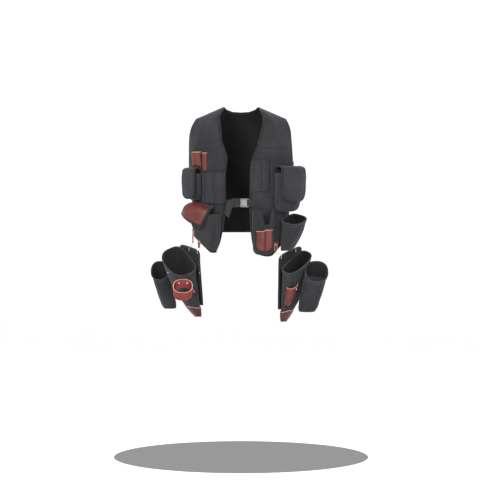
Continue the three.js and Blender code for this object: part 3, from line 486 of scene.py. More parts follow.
def leather(name, dark, light, roughness=(0.36, 0.52), grain=420.0, depth=0.00025, seed=0.0):
    """Oiled leather with a fine pebbled grain."""
    material, tree, shader = node_tree(name, dark, 0.45, specular=0.34, coat=0.05)
    where = mottled(tree, shader, dark, light, 22.0, seed=seed, roughness=roughness)
    pebbles = over_object(tree, where, "ShaderNodeTexVoronoi", feature="SMOOTH_F1", in_Scale=grain)
    creases = over_object(tree, where, "ShaderNodeTexNoise", in_Scale=70.0, in_Detail=8.0)
    total = maths(tree, "ADD", pebbles.outputs["Distance"],
                  maths(tree, "MULTIPLY", creases.outputs["Fac"], 1.5))
    bumped(tree, shader, total, 0.6, depth)
    return material


def plastic(name, dark, light, roughness, texture=0.00004):
    material, tree, shader = node_tree(name, dark, roughness, specular=0.5)
    where = mottled(tree, shader, dark, light, 60.0)
    spark = over_object(tree, where, "ShaderNodeTexNoise", in_Scale=1500.0, in_Detail=2.0)
    bumped(tree, shader, spark.outputs["Fac"], 0.5, texture)
    return material


def metal(name, base, light):
    material, tree, shader = node_tree(name, base, 0.28, metallic=1.0)
    mottled(tree, shader, base, light, 120.0, roughness=(0.2, 0.38))
    return material


NYLON = woven("nylon cloth", (0.0155, 0.0155, 0.018), (0.0275, 0.0275, 0.031), 0.0011, 0.0003,
               sheen=0.14)
# Darker nylon for inside faces: painted shade, where shade falls inside pockets and bags.
PAINTED_SHADE_NYLON = woven("nylon inside painted shade", (0.008, 0.008, 0.0085), (0.014, 0.014, 0.015), 0.0011, 0.0003,
               sheen=0.05, seed=3.0)
BINDING = woven("binding tape", (0.009, 0.0088, 0.0085), (0.016, 0.0155, 0.015), 0.0012, 0.0003,
                seed=1.0, ribs=True)
WEB = woven("webbing", (0.018, 0.018, 0.0195), (0.028, 0.028, 0.03), 0.0021, 0.0005, seed=2.0,
            ribs=True)
RIM_CLOTH = woven("rim cloth", (0.034, 0.034, 0.037), (0.054, 0.054, 0.058), 0.0012, 0.0003,
                  seed=6.0)
THREAD, _tree, _shader = node_tree("thread", (0.045, 0.045, 0.05), 0.6, 0.3)
mottled(_tree, _shader, (0.035, 0.035, 0.038), (0.07, 0.07, 0.075), 300.0)
PALE_THREAD, _tree, _shader = node_tree("pale thread", (0.42, 0.2, 0.15), 0.6, 0.2)
mottled(_tree, _shader, (0.3, 0.13, 0.1), (0.5, 0.26, 0.2), 300.0)
BURGUNDY = leather("burgundy leather", (0.07, 0.0105, 0.0085), (0.135, 0.0235, 0.019))
RING_LEATHER = leather("red leather", (0.11, 0.0095, 0.009), (0.185, 0.021, 0.018), seed=4.0)
TIP_LEATHER = leather("dark leather", (0.04, 0.005, 0.005), (0.08, 0.012, 0.011), (0.26, 0.42),
                      seed=5.0)
CUT_EDGE = leather("cut leather edge", (0.52, 0.27, 0.17), (0.68, 0.4, 0.27), (0.6, 0.8), 900.0)
BLACK_PLASTIC = plastic("black plastic", (0.012, 0.012, 0.013), (0.02, 0.02, 0.021), 0.42)
GREY_PLASTIC = plastic("grey plastic", (0.1, 0.1, 0.103), (0.13, 0.13, 0.133), 0.4)
PALE_PLASTIC = plastic("pale plastic", (0.17, 0.17, 0.174), (0.22, 0.22, 0.225), 0.35)
STEEL = metal("bright steel", (0.6, 0.6, 0.62), (0.8, 0.8, 0.8))


# Seams and fastenings that lie on the cloth.


def lifted(grid, thickness, ring=False):
    """The outer face of a wall, and its normals."""
    normals = grid_normals(grid, ring)
    if np.ndim(thickness) == 2:
        thickness = thickness[:, :, None]
    return grid + normals * thickness, normals


def along_row(face, normals, i, first=0, last=None):
    return face[i, first:last], normals[i, first:last]


def along_column(face, normals, j, first=0, last=None):
    return face[first:last, j], normals[first:last, j]


def welts(name, rows, width=3.2, height=0.9, material=None):
    """Raised seams: low rounded ridges along paths on the cloth."""
    points, faces = [], []
    profile = [(-0.5, -0.15), (-0.36, 0.55), (0.0, 1.0), (0.36, 0.55), (0.5, -0.15)]
    for path, normals in rows:
        path, normals = resample(path, 3.0, (normals,))
        along = unit(np.gradient(path, axis=0))
        normals = unit(normals)
        side = unit(np.cross(normals, along))
        first = len(points)
        count = len(profile)
        for p, n, s in zip(path, normals, side):
            points += [p + s * a * width + n * b * height for a, b in profile]
        for i in range(len(path) - 1):
            for j in range(count):
                k = (j + 1) % count
                row, below = first + i * count, first + (i + 1) * count
                faces.append((row + j, row + k, below + k, below + j))
        faces.append(tuple(first + j for j in range(count - 1, -1, -1)))
        faces.append(tuple(first + (len(path) - 1) * count + j for j in range(count)))
    points = np.array(points)
    return build(name, points, faces, points[:, [0, 2]], [material or BINDING], [0] * len(faces),
                 50)


def rivets(name, places, radius=4.0, height=1.8):
    """Domed rivet heads at places with a normal."""
    points, faces = [], []
    sides = 20
    profile = [(1.0, -0.1), (1.0, 0.25), (0.86, 0.62), (0.55, 0.92), (0.25, 1.0)]
    for place, normal in places:
        normal = normal / np.linalg.norm(normal)
        helper = np.array([0.0, 0.0, 1.0]) if abs(normal[2]) < 0.9 else np.array([1.0, 0, 0])
        a = unit(np.cross(normal, helper))
        b = np.cross(normal, a)
        first = len(points)
        for r, h in profile:
            for k in range(sides):
                turn = 2 * math.pi * k / sides
                points.append(place + (a * math.cos(turn) + b * math.sin(turn)) * r * radius
                              + normal * h * height)
        for i in range(len(profile) - 1):
            for k in range(sides):
                m = (k + 1) % sides
                faces.append((first + i * sides + k, first + i * sides + m,
                              first + (i + 1) * sides + m, first + (i + 1) * sides + k))
        faces.append(tuple(first + (len(profile) - 1) * sides + k for k in range(sides)))
        faces.append(tuple(first + k for k in range(sides - 1, -1, -1)))
    return build(name, np.array(points), faces, None, [STEEL], [0] * len(faces), 50)


# Front and back panels.
FRONT_R = [
    dict(level=0.0, inner=0.32, outer=0.862), dict(level=0.15, inner=0.404, outer=0.936),
    dict(level=0.3, inner=0.394, outer=0.97), dict(level=0.48, inner=0.376, outer=0.985),
    dict(level=0.67, inner=0.365, outer=0.988), dict(level=0.85, inner=0.3, outer=0.988),
    dict(level=1.0, inner=0.262, outer=0.99), dict(level=1.16, inner=0.3, outer=1.0),
    dict(level=1.32, inner=0.305, outer=1.0), dict(level=1.5, inner=0.315, outer=1.0),
    dict(level=1.66, inner=0.345, outer=1.0), dict(level=1.82, inner=0.388, outer=1.0),
    dict(level=1.94, inner=0.446, outer=1.0), dict(level=2.0, inner=0.51, outer=1.0),
]
FRONT_L = [
    dict(level=0.0, inner=0.335, outer=0.862), dict(level=0.15, inner=0.414, outer=0.92),
    dict(level=0.3, inner=0.414, outer=0.945), dict(level=0.48, inner=0.38, outer=0.955),
    dict(level=0.67, inner=0.34, outer=0.962), dict(level=0.85, inner=0.28, outer=0.968),
    dict(level=1.0, inner=0.215, outer=0.978), dict(level=1.16, inner=0.175, outer=1.0),
    dict(level=1.32, inner=0.178, outer=1.0), dict(level=1.5, inner=0.185, outer=1.0),
    dict(level=1.66, inner=0.19, outer=1.0), dict(level=1.82, inner=0.21, outer=1.0),
    dict(level=1.94, inner=0.25, outer=1.0), dict(level=2.0, inner=0.33, outer=1.0),
]
HEM_R = [
    dict(side=0.35, drop=0.955), dict(side=0.58, drop=0.975), dict(side=0.76, drop=0.925),
    dict(side=0.93, drop=0.872), dict(side=1.0, drop=HEM_AT_SIDE / TRUNK_LENGTH),
]
HEM_L = [
    dict(side=0.25, drop=0.975), dict(side=0.45, drop=0.998), dict(side=0.61, drop=0.995),
    dict(side=0.72, drop=0.955), dict(side=0.86, drop=0.9),
    dict(side=1.0, drop=HEM_AT_SIDE / TRUNK_LENGTH),
]
FOLD_HEIGHT = 7.5
FOLDS = [
    dict(x=-0.55, z=-0.2, length=0.3, width=0.07, height=1.0, turn=62),
    dict(x=-0.78, z=-0.42, length=0.26, width=0.06, height=0.9, turn=74),
    dict(x=-0.5, z=-0.52, length=0.2, width=0.07, height=-0.7, turn=55),
    dict(x=0.6, z=-0.22, length=0.3, width=0.07, height=1.0, turn=-66),
    dict(x=0.8, z=-0.4, length=0.26, width=0.06, height=0.8, turn=-76),
    dict(x=0.55, z=-0.55, length=0.2, width=0.07, height=-0.7, turn=-58),
]
YOKE_SEAM = -135


def fold_height(x, z):
    total = 0.0
    for fold in FOLDS:
        dx = x / CHEST_HALF_WIDTH - fold["x"]
        dz = z / CHEST_HALF_WIDTH - fold["z"]
        turn = math.radians(fold["turn"])
        along = (dx * math.cos(turn) + dz * math.sin(turn)) / fold["length"]
        across = (-dx * math.sin(turn) + dz * math.cos(turn)) / fold["width"]
        total += FOLD_HEIGHT * fold["height"] * math.exp(-along * along - across * across)
    return total


def panel_point(angle, level, hem):
    if level >= 1:
        return trunk_point(angle, lerp(CHEST_LEVEL, -hem, level - 1))
    x = trunk_point(angle, CHEST_LEVEL)[0]
    return trunk_point(angle, lerp(crest(x), CHEST_LEVEL, level))


def front_surface(side, table, hem_table, rows=84, columns=44):
    grid = np.zeros((rows, columns, 3))
    for i in range(rows):
        level = 2 * i / (rows - 1)
        inner = angle_at_share(look_up(table, "level", level, "inner"))
        outer = min(angle_at_share(min(look_up(table, "level", level, "outer"), 1)),
                    90 - SEAM_ANGLE)
        for j in range(columns):
            share = j / (columns - 1)
            angle = lerp(inner, outer, share) if side > 0 else lerp(outer, inner, share)
            reach = math.sin(math.radians(angle)) ** (2 / SQUARENESS)
            hem = TRUNK_LENGTH * look_up(hem_table, "side", reach, "drop")
            point = panel_point(side * angle, level, hem)
            if level < 1:
                point[1] = min(point[1], -CREST_GAP)
                if level > 0:
                    point[1] -= fold_height(point[0], point[2]) * step(0, 0.15, level)
            grid[i, j] = point
    return grid


ARMHOLE_END = 1.16
stitched = []
for side, name, table, hem_table in ((-1, "front_panel_r", FRONT_R, HEM_R),
                                     (1, "front_panel_l", FRONT_L, HEM_L)):
    grid = front_surface(side, table, hem_table)
    rows, columns = grid.shape[:2]
    normals = grid_normals(grid)
    for i in range(1, rows):
        for j in range(columns):
            edge = min(j, columns - 1 - j, 6) / 6 * min(i / 8, 1)
            p = Vector(grid[i, j] / 70) + Vector((side * 9.0, 2.0, 5.0))
            grid[i, j] += normals[i, j] * 1.3 * edge * noise.fractal(p, 1.0, 2.0, 2)
    # The yoke overlaps the lower panel at a horizontal seam.
    thickness = np.full((rows, columns), CLOTH)
    for i in range(rows):
        for j in range(columns):
            thickness[i, j] += 0.8 * step(YOKE_SEAM - 2, YOKE_SEAM + 2, grid[i, j, 2])
    panel = wall(name, grid, thickness, [NYLON])
    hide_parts(name)
    face, normals = lifted(grid, thickness)
    inner = columns - 1 if side < 0 else 0
    outer = 0 if side < 0 else columns - 1
    toward = -1 if side < 0 else 1
    last = int(round((rows - 1) * ARMHOLE_END / 2)) + 1
    hem_order = slice(None, None, toward)
    edge_path = np.concatenate([grid[:, inner], grid[-1, hem_order][1:]])
    edge_normals = np.concatenate([normals[:, inner], normals[-1, hem_order][1:]])
    inward_side = unit(grid[:, inner + toward] - grid[:, inner])
    inward_hem = unit(grid[-2] - grid[-1])[hem_order][1:]
    edge_inward = np.concatenate([inward_side, inward_hem])
    tape(name + "_edge", edge_path, edge_normals, edge_inward, CLOTH + 0.4)
    arm_inward = unit(grid[:last, outer - toward] - grid[:last, outer])
    tape(name + "_armhole_edge", grid[:last, outer], normals[:last, outer], arm_inward, CLOTH + 0.6)
    seam = []
    for offset in (-3.5, 3.5):
        path, path_normals = [], []
        for j in range(columns):
            z = face[:, j, 2]
            i = int(np.argmax(z < YOKE_SEAM + offset))
            share = (YOKE_SEAM + offset - z[i - 1]) / (z[i] - z[i - 1])
            path.append(lerp(face[i - 1, j], face[i, j], share))
            path_normals.append(normals[i, j])
        seam.append((np.array(path)[2:-2], np.array(path_normals)[2:-2]))
    stitched += [seam[1]]
    welts(name + "_yoke_seam", seam[:1], 3.4, 1.2, BINDING)

BACK_TOP = [
    dict(side=0.0, level=0.1), dict(side=0.16, level=0.09), dict(side=0.27, level=0.05),
    dict(side=0.32, level=0.0), dict(side=0.5, level=0.0), dict(side=0.7, level=0.0),
    dict(side=0.862, level=0.0), dict(side=0.94, level=0.24), dict(side=0.975, level=0.6),
    dict(side=0.99, level=0.98), dict(side=1.0, level=1.16),
]


def back_surface(rows=60, parts=5):
    half = []
    for before, after in zip(BACK_TOP[:-1], BACK_TOP[1:]):
        for k in range(parts):
            half.append((lerp(before["side"], after["side"], k / parts),
                         lerp(before["level"], after["level"], k / parts)))
    half.append((BACK_TOP[-1]["side"], BACK_TOP[-1]["level"]))
    columns = [(s, level, 1) for s, level in reversed(half[1:])]
    columns += [(s, level, -1) for s, level in half]
    grid = np.zeros((rows, len(columns), 3))
    for i in range(rows):
        share = i / (rows - 1)
        for j, (place, level, turn) in enumerate(columns):
            angle = max(180 - angle_at_share(place), 90 + SEAM_ANGLE)
            point = panel_point(turn * angle, lerp(level, 2, share), HEM_AT_SIDE)
            if level == 0:
                point[1] = max(point[1], CREST_GAP)
            sway = 2.2 * math.sin(3.1 * share) * noise.fractal(Vector(point / 95), 1.0, 2.0, 2)
            point += np.array([0, 1, 0]) * sway * min(share * 8, 1) * step(0, 60, point[1])
            grid[i, j] = point
    return grid, columns


grid, back_columns = back_surface()
back = wall("back_panel", grid, CLOTH, [NYLON])
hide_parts("back_panel")
face, normals = lifted(grid, CLOTH)
inward = unit(grid[1] - grid[0])
places = np.array([side for side, level, turn in back_columns])
neck = np.where(places <= 0.321)[0]
for name, span in (("back_neck_edge", slice(neck[0], neck[-1] + 1)),
                   ("back_armhole_edge_l", slice(0, int(np.argmax(places < 0.862)))),
                   ("back_armhole_edge_r", slice(len(places) - int(np.argmax(places < 0.862)),
                                                 None))):
    tape(name, grid[0, span], normals[0, span], inward[span], CLOTH)
tape("back_hem_edge", grid[-1], normals[-1], unit(grid[-2] - grid[-1]), CLOTH)
middle = face.shape[1] // 2
YOKE_ROW = 14
SEAM_COLUMNS = 15
welts("back_seams", [
    along_column(face, normals, middle - SEAM_COLUMNS, 6, -2),
    along_column(face, normals, middle + SEAM_COLUMNS, 6, -2),
    along_row(face, normals, YOKE_ROW, 4, -4),
], 3.4, 0.8)
stitched += [(face[YOKE_ROW, 5:-5] - [0, 0, 5], normals[YOKE_ROW, 5:-5])]


# The seam over each shoulder; inner and outer are shares of the chest's half width.
SHOULDER_SEAM = dict(inner=0.345, outer=0.85, half=8, thick=0.7, rows=15, columns=30)
for side, name in ((-1, "shoulder_seam_r"), (1, "shoulder_seam_l")):
    lines = []
    for k in range(SHOULDER_SEAM["rows"]):
        y = SHOULDER_SEAM["half"] * (2 * k / (SHOULDER_SEAM["rows"] - 1) - 1)
        rise = math.sqrt(1 - (y / CHEST_HALF_DEPTH) ** 2)
        line = []
        for m in range(SHOULDER_SEAM["columns"]):
            share = m / (SHOULDER_SEAM["columns"] - 1)
            x = side * lerp(SHOULDER_SEAM["inner"], SHOULDER_SEAM["outer"], share) * CHEST_HALF_WIDTH
            z = lerp(CHEST_LEVEL, crest(x), rise) + CLOTH + 0.3
            line.append([x, y, z])
        lines.append(line)
    seam_grid = np.array(lines)[::-1] if side > 0 else np.array(lines)[::-1, ::-1]
    if grid_normals(seam_grid)[7, 15, 2] < 0:
        seam_grid = seam_grid[:, ::-1]
    wall(name, seam_grid, SHOULDER_SEAM["thick"], [NYLON])
    face, normals = lifted(seam_grid, SHOULDER_SEAM["thick"])
    stitched += [(face[3], normals[3]), (face[-4], normals[-4])]


# Pockets and pouches that are sewn on the panels.


CHANNEL_STEPS = 14
PLAIN_STEPS = 30
# Two rows of stitches, this far below a mouth.
HEM_STITCHES = 11.5
MOUTH_STITCHES = 3


def pocket_surface(spec, cloth, steps=None, rows=26):
    edges = [spec["left"] + cloth, *spec.get("seams", []), spec["right"] - cloth]
    steps = steps or (CHANNEL_STEPS if len(edges) > 2 else PLAIN_STEPS)
    columns = []
    for k in range(len(edges) - 1):
        width = edges[k + 1] - edges[k]
        depth = min(spec["depth"], width * spec.get("fullness", 0.5))
        for n in range(0 if k == 0 else 1, steps + 1):
            across = -math.cos(math.pi * n / steps)
            bulge = max(1 - abs(across) ** spec["boxiness"], 0) ** (1 / spec["boxiness"])
            columns.append((edges[k] + width * (1 + across) / 2, depth * bulge))
    height = spec["bottom"] - cloth - spec["top"]
    corner = spec.get("corner", 12)
    closing = spec.get("closing", 5)
    grid = np.zeros((rows, len(columns), 3))
    for i in range(rows):
        turn = 90 * (i / (rows - 1)) ** 0.9
        down = math.sin(math.radians(turn)) ** (2 / closing)
        if i == 1:
            down = 2 / height
        stand = 0 if i == rows - 1 else math.cos(math.radians(turn)) ** (2 / closing)
        above = max(corner - height * (1 - down), 0)
        inset = corner - math.sqrt(max(corner * corner - above * above, 0))
        left = spec["left"] + cloth + spec.get("taperLeft", 0) * down ** 1.4 + inset
        right = spec["right"] - cloth - spec.get("taperRight", 0) * down ** 1.4 - inset
        thin = lerp(1, spec.get("bottomDepth", 1), down)
        for j, (girth, bulge) in enumerate(columns):
            share = (girth - spec["left"] - cloth) / (spec["right"] - spec["left"] - 2 * cloth)
            z = -(spec["top"] + height * down)
            grid[i, j] = on_trunk(lerp(left, right, share), z, spec["lift"] + bulge * stand * thin)
    return grid


def soften(grid, height, size, seed):
    """Crumple that dies out at the sewn edges."""
    rows, columns = grid.shape[:2]
    moved = crumple(grid, height, size, seed)
    for i in range(rows):
        for j in range(columns):
            keep = min(j, columns - 1 - j, 4) / 4 * min(rows - 1 - i, 4) / 4
            moved[i, j] = lerp(grid[i, j], moved[i, j], keep)
    return moved


def hem_band(grid, cloth, depth=13, extra=0.8):
    """Thickness of a wall whose mouth is turned over in a hem."""
    down = arc_lengths(grid)[..., 1]
    return cloth + extra * np.clip((depth - down) / 1.5, 0, 1)


def pocket(name, spec, seed, material=None, cloth=POCKET_CLOTH, crush=1.2,
           edge=0, band=True, shape=None):
    grid = shape if shape is not None else pocket_surface(spec, cloth)
    grid = soften(grid, crush, 34, seed)
    thickness = hem_band(grid, cloth) if band else cloth
    material = material or NYLON
    piece = wall(name, grid, thickness, [material, CUT_EDGE], edge=edge)
    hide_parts(name)
    face, normals = lifted(grid, thickness)
    if edge:
        welts(name + "_edge", [(face[0], normals[0])], 2.2, 0.9, CUT_EDGE)
    return face, normals, grid


def level_row(face, normals, depth, skip=1):
    """Path across a pocket, a length below its mouth."""
    path, path_normals = [], []
    for j in range(skip, face.shape[1] - skip):
        down = lengths_along(face[:, j])
        i = min(int(np.searchsorted(down, depth)), face.shape[0] - 1)
        share = (depth - down[i - 1]) / (down[i] - down[i - 1])
        path.append(lerp(face[i - 1, j], face[i, j], share))
        path_normals.append(normals[i, j])
    return np.array(path), np.array(path_normals)


def hem_rows(face, normals):
    return [level_row(face, normals, below) for below in (HEM_STITCHES, MOUTH_STITCHES)]


CHEST_POCKET_R = dict(left=-153, right=-63, seams=[-137, -100], top=236, bottom=358, depth=13,
                      boxiness=2.6, lift=ON_PANEL, corner=8)
face, normals, grid = pocket("chest_tool_pocket_r", CHEST_POCKET_R, 1)
stitched += hem_rows(face, normals)
stitched += [along_column(face, normals, j, 1, -3) for j in (CHANNEL_STEPS, 2 * CHANNEL_STEPS)]

PUNCH_SLEEVE_R = dict(left=-201, right=-158, top=156, bottom=216, depth=15, boxiness=2.2,
                      lift=ON_PANEL, corner=10, bottomDepth=0.6)
pale_stitched = []
for name, spec in (("leather_punch_sleeve_r", PUNCH_SLEEVE_R),
                   ("leather_punch_pocket_r", dict(PUNCH_SLEEVE_R, left=-154, right=-133, top=160,
                                                   bottom=233, depth=10))):
    face, normals, grid = pocket(name, spec, 2, BURGUNDY, LEATHER, 0.4, 1, False)
    pale_stitched += [along_column(face, normals, 2, 2, -2), along_column(face, normals, -3, 2, -2)]

SMALL_POUCH_R = dict(left=-216, right=-156, top=240, bottom=342, depth=34, boxiness=5,
                     lift=ON_PANEL, corner=16, bottomDepth=0.9)
face, normals, grid = pocket("small_flap_pouch_r", SMALL_POUCH_R, 3)
stitched += [level_row(face, normals, HEM_STITCHES, 5)]
welts("small_flap_pouch_r_seams", [along_column(face, normals, 6, 1, -4),
                                   along_column(face, normals, -7, 1, -4)], 2.6, 0.7)

LOWER_POUCH_R = dict(left=-207, right=-76, top=397, bottom=545, depth=34, boxiness=4.5,
                     lift=ON_PANEL + 2 * GAP, corner=34, bottomDepth=0.55, taperLeft=80,
                     taperRight=12, fullness=0.3)
# An upright pleat near the middle, below the flap.
PLEAT = dict(x=-109, top=-450, bottom=-530, width=5, depth=7)
grid = pocket_surface(LOWER_POUCH_R, POCKET_CLOTH, steps=60, rows=48)
normals = grid_normals(grid)
for i in range(grid.shape[0]):
    for j in range(grid.shape[1]):
        x, y, z = grid[i, j]
        lean = PLEAT["x"] + 0.09 * (z - PLEAT["bottom"])
        near = math.exp(-((x - lean) / PLEAT["width"]) ** 2)
        reach = step(PLEAT["bottom"] - 12, PLEAT["bottom"] + 10, z) * (
            1 - step(PLEAT["top"] - 20, PLEAT["top"] + 18, z))
        beside = math.exp(-((x - lean - 11) / 7) ** 2)
        grid[i, j] += normals[i, j] * reach * (1.6 * beside - PLEAT["depth"] * near)
face, normals, grid = pocket("lower_pouch_r", LOWER_POUCH_R, 4, shape=grid, crush=1.6)
stitched += [level_row(face, normals, HEM_STITCHES, 8), level_row(face, normals, 2.5, 8)]
welts("lower_pouch_r_seams", [along_column(face, normals, 12, 1, -6),
                              along_column(face, normals, -13, 1, -6)], 2.6, 0.7)

PEN_POCKET_L = dict(left=38, right=109, seams=[49, 79], top=189, bottom=309, depth=9,
                    boxiness=2.6, lift=ON_PANEL, corner=4, fullness=0.35)
face, normals, grid = pocket("chest_pen_pocket_l", PEN_POCKET_L, 5)
stitched += hem_rows(face, normals)
stitched += [along_column(face, normals, j, 1, -2) for j in (CHANNEL_STEPS, 2 * CHANNEL_STEPS)]
CARD_POCKET_L = dict(left=111, right=231, top=192, bottom=334, depth=6, boxiness=8,
                     lift=ON_PANEL, corner=12)
face, normals, grid = pocket("chest_card_pocket_l", CARD_POCKET_L, 6, crush=0.5)
stitched += hem_rows(face, normals)
BIG_POUCH_L = dict(left=128, right=222, top=236, bottom=387, depth=46, boxiness=5.5,
                   lift=ON_PANEL + 6 + POCKET_CLOTH + GAP, corner=26, bottomDepth=0.92)
face, normals, grid = pocket("big_flap_pouch_l", BIG_POUCH_L, 7,
                             shape=pocket_surface(BIG_POUCH_L, POCKET_CLOTH, steps=44, rows=34))
stitched += [level_row(face, normals, HEM_STITCHES, 8)]
welts("big_flap_pouch_l_seams", [along_column(face, normals, 9, 1, -5),
                                 along_column(face, normals, -10, 1, -5)], 2.8, 0.8)

KNIFE_POCKET_L = dict(left=42, right=125, top=378, bottom=554, depth=20, boxiness=6,
                      lift=ON_PANEL, corner=22, closing=6, taperLeft=4, taperRight=2)
NOTCH = dict(middle=95, half=14, depth=60)
KNIFE_STEPS = 64
grid = pocket_surface(KNIFE_POCKET_L, POCKET_CLOTH, steps=KNIFE_STEPS, rows=40)
for j in range(KNIFE_STEPS + 1):
    across = -math.cos(math.pi * j / KNIFE_STEPS)
    girth = lerp(KNIFE_POCKET_L["left"] + POCKET_CLOTH, KNIFE_POCKET_L["right"] - POCKET_CLOTH,
                 (1 + across) / 2)
    away = abs(girth - NOTCH["middle"]) / NOTCH["half"]
    if away < 1:
        cut = NOTCH["depth"] * math.sqrt(1 - away ** 4)
        top, bottom = grid[0, j, 2], grid[-1, j, 2]
        grid[:, j, 2] -= cut * (grid[:, j, 2] - bottom) / (top - bottom)
knife_face, knife_normals, knife_grid = pocket("knife_pocket_l", KNIFE_POCKET_L, 8, shape=grid,
                                               band=False, crush=0.7)
inward = unit(knife_grid[1] - knife_grid[0])
tape("knife_pocket_l_edge", knife_grid[0, 3:-3], knife_normals[0, 3:-3], inward[3:-3],
     POCKET_CLOTH, 7.0)
stitched += [along_column(knife_face, knife_normals, 5, 1, -4),
             along_column(knife_face, knife_normals, -6, 1, -4)]

DOUBLE_HOLSTER_L = dict(left=55, right=114, seams=[86], top=460, bottom=540, depth=14,
                        boxiness=2.6, lift=ON_PANEL + 20 + POCKET_CLOTH + GAP, corner=22)
grid = pocket_surface(DOUBLE_HOLSTER_L, LEATHER, steps=22, rows=34)
# The top edge rises from its inner end to its middle.
TOP_EDGE = dict(inner=-3, rise=5, start=0.3, end=0.62)
for j in range(grid.shape[1]):
    climb = step(TOP_EDGE["start"], TOP_EDGE["end"], j / (grid.shape[1] - 1))
    rise = TOP_EDGE["rise"] * climb + TOP_EDGE["inner"]
    bottom = grid[-1, j, 2]
    grid[:, j, 2] += rise * (grid[:, j, 2] - bottom) / (grid[0, j, 2] - bottom)
face, normals, grid = pocket("leather_double_holster_l", DOUBLE_HOLSTER_L, 9, BURGUNDY, LEATHER,
                             0.3, 1, False, shape=grid)
pale_stitched += [along_column(face, normals, 21, 1, -2), along_column(face, normals, 2, 2, -1),
                  along_column(face, normals, -3, 2, -1), along_row(face, normals, -4, 3, -3)]

# The way of a flap from its seam over the pouch, a row for each station.
FLAP_PATH = [
    dict(row=0, down=0.0, out=0.0), dict(row=1, down=0.0, out=0.14),
    dict(row=2, down=-0.035, out=0.38), dict(row=3, down=-0.03, out=0.68),
    dict(row=4, down=0.02, out=0.92), dict(row=5, down=0.12, out=1.0),
    dict(row=6, down=0.35, out=1.04), dict(row=7, down=0.6, out=1.04),
    dict(row=8, down=0.82, out=1.02), dict(row=9, down=0.93, out=1.01),
    dict(row=10, down=1.0, out=1.0),
]
LOWER_FLAP_PATH = [
    dict(row=0, down=0.0, out=0.0), dict(row=1, down=0.0, out=0.2),
    dict(row=2, down=0.04, out=0.45), dict(row=3, down=0.12, out=0.72),
    dict(row=4, down=0.26, out=0.93), dict(row=5, down=0.48, out=1.04),
    dict(row=6, down=0.74, out=1.09), dict(row=7, down=1.0, out=1.12),
]


def flap_surface(spec, rows=44, columns=26):
    path = spec.get("path", FLAP_PATH)
    length = spec["bottom"] - spec["top"]
    grid = np.zeros((rows, columns, 3))
    for i in range(rows):
        at = path[-1]["row"] * i / (rows - 1)
        down, out = look_up(path, "row", at, "down"), look_up(path, "row", at, "out")
        above = max(spec["corner"] - length * (1 - down), 0)
        inset = spec["corner"] - math.sqrt(max(spec["corner"] ** 2 - above * above, 0))
        for j in range(columns):
            share = j / (columns - 1)
            girth = lerp(spec["left"] + inset, spec["right"] - inset, share)
            girth += spec.get("slant", 0) * down
            lean = lerp(spec.get("lean", 0), spec.get("endLean", spec.get("lean", 0)), down) * share
            z = -(spec["top"] + length * down + lean)
            grid[i, j] = on_trunk(girth, z, spec["lift"] + spec["reach"] * out)
    return grid


def flap(name, spec, seed, material=None):
    grid = flap_surface(spec)
    grid[4:] = crumple(grid, 1.2, 40, seed)[4:]
    piece = wall(name, grid, POCKET_CLOTH, [material or NYLON])
    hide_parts(name)
    face, normals = lifted(grid, POCKET_CLOTH)
    border = np.concatenate([grid[5:, 0], grid[-1, 1:-1], grid[:4:-1, -1]])
    border_normals = np.concatenate([normals[5:, 0], normals[-1, 1:-1], normals[:4:-1, -1]])
    inward = np.concatenate([unit(grid[5:, 1] - grid[5:, 0]), unit(grid[-2] - grid[-1])[1:-1],
                             unit(grid[:4:-1, -2] - grid[:4:-1, -1])])
    tape(name + "_edge", border, border_normals, inward, POCKET_CLOTH, 8.0)
    return face, normals


SMALL_FLAP_R = dict(left=SMALL_POUCH_R["left"] + 2, right=SMALL_POUCH_R["right"] - 4, top=222,
                    bottom=338, lift=FLAP_SEAT, reach=SMALL_POUCH_R["depth"] + POCKET_CLOTH + 4,
                    corner=27)
BIG_FLAP_L = dict(left=BIG_POUCH_L["left"] + 5, right=BIG_POUCH_L["right"] - 3, top=216,
                  bottom=349, lift=BIG_POUCH_L["lift"] + 0.5,
                  reach=BIG_POUCH_L["depth"] + POCKET_CLOTH + 4, corner=36)
LOWER_FLAP_R = dict(left=-196, right=-104, slant=-30, top=352, bottom=402, lean=16,
                    endLean=48, lift=FLAP_SEAT, reach=LOWER_POUCH_R["depth"] + POCKET_CLOTH + 5,
                    corner=9, path=LOWER_FLAP_PATH)
for name, spec, seed in (("small_flap_r", SMALL_FLAP_R, 11), ("big_flap_l", BIG_FLAP_L, 12)):
    face, normals = flap(name, spec, seed)
    stitched += [along_row(face, normals, 6, 2, -2)]
face, normals = flap("lower_flap_r", LOWER_FLAP_R, 13, BINDING)
BINDING_WIDTH = 8
span = slice(10, None)
part = face[span] + normals[span] * GAP
widths = np.linalg.norm(part[:, -1] - part[:, 0], axis=-1)
shares = np.linspace(0, 1, part.shape[1])
lengths = lengths_along(part[:, part.shape[1] // 2 - 1])
rows, columns = 30, 24
leather_grid = np.zeros((rows, columns, 3))
border = BINDING_WIDTH / widths.mean()
for i in range(rows):
    at = (lengths[-1] - BINDING_WIDTH) * i / (rows - 1)
    for j in range(columns):
        share = lerp(1.4 * border, 1 - border, j / (columns - 1))
        leather_grid[i, j] = [
            np.interp(at, lengths, [np.interp(share, shares, part[m, :, k])
                                    for m in range(part.shape[0])]) for k in range(3)]
THIN_LEATHER = LEATHER - 0.6
leather_panel = wall("leather_flap_panel_r", leather_grid, THIN_LEATHER, [BURGUNDY])
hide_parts("leather_flap_panel_r")
face, normals = lifted(leather_grid, THIN_LEATHER)
stitched += [along_row(face, normals, 1, 1, -1), along_row(face, normals, -2, 1, -1),
             along_column(face, normals, 1, 1, -1), along_column(face, normals, -2, 1, -1)]


# Pouches that stand off the trunk.
RIM = 1.6


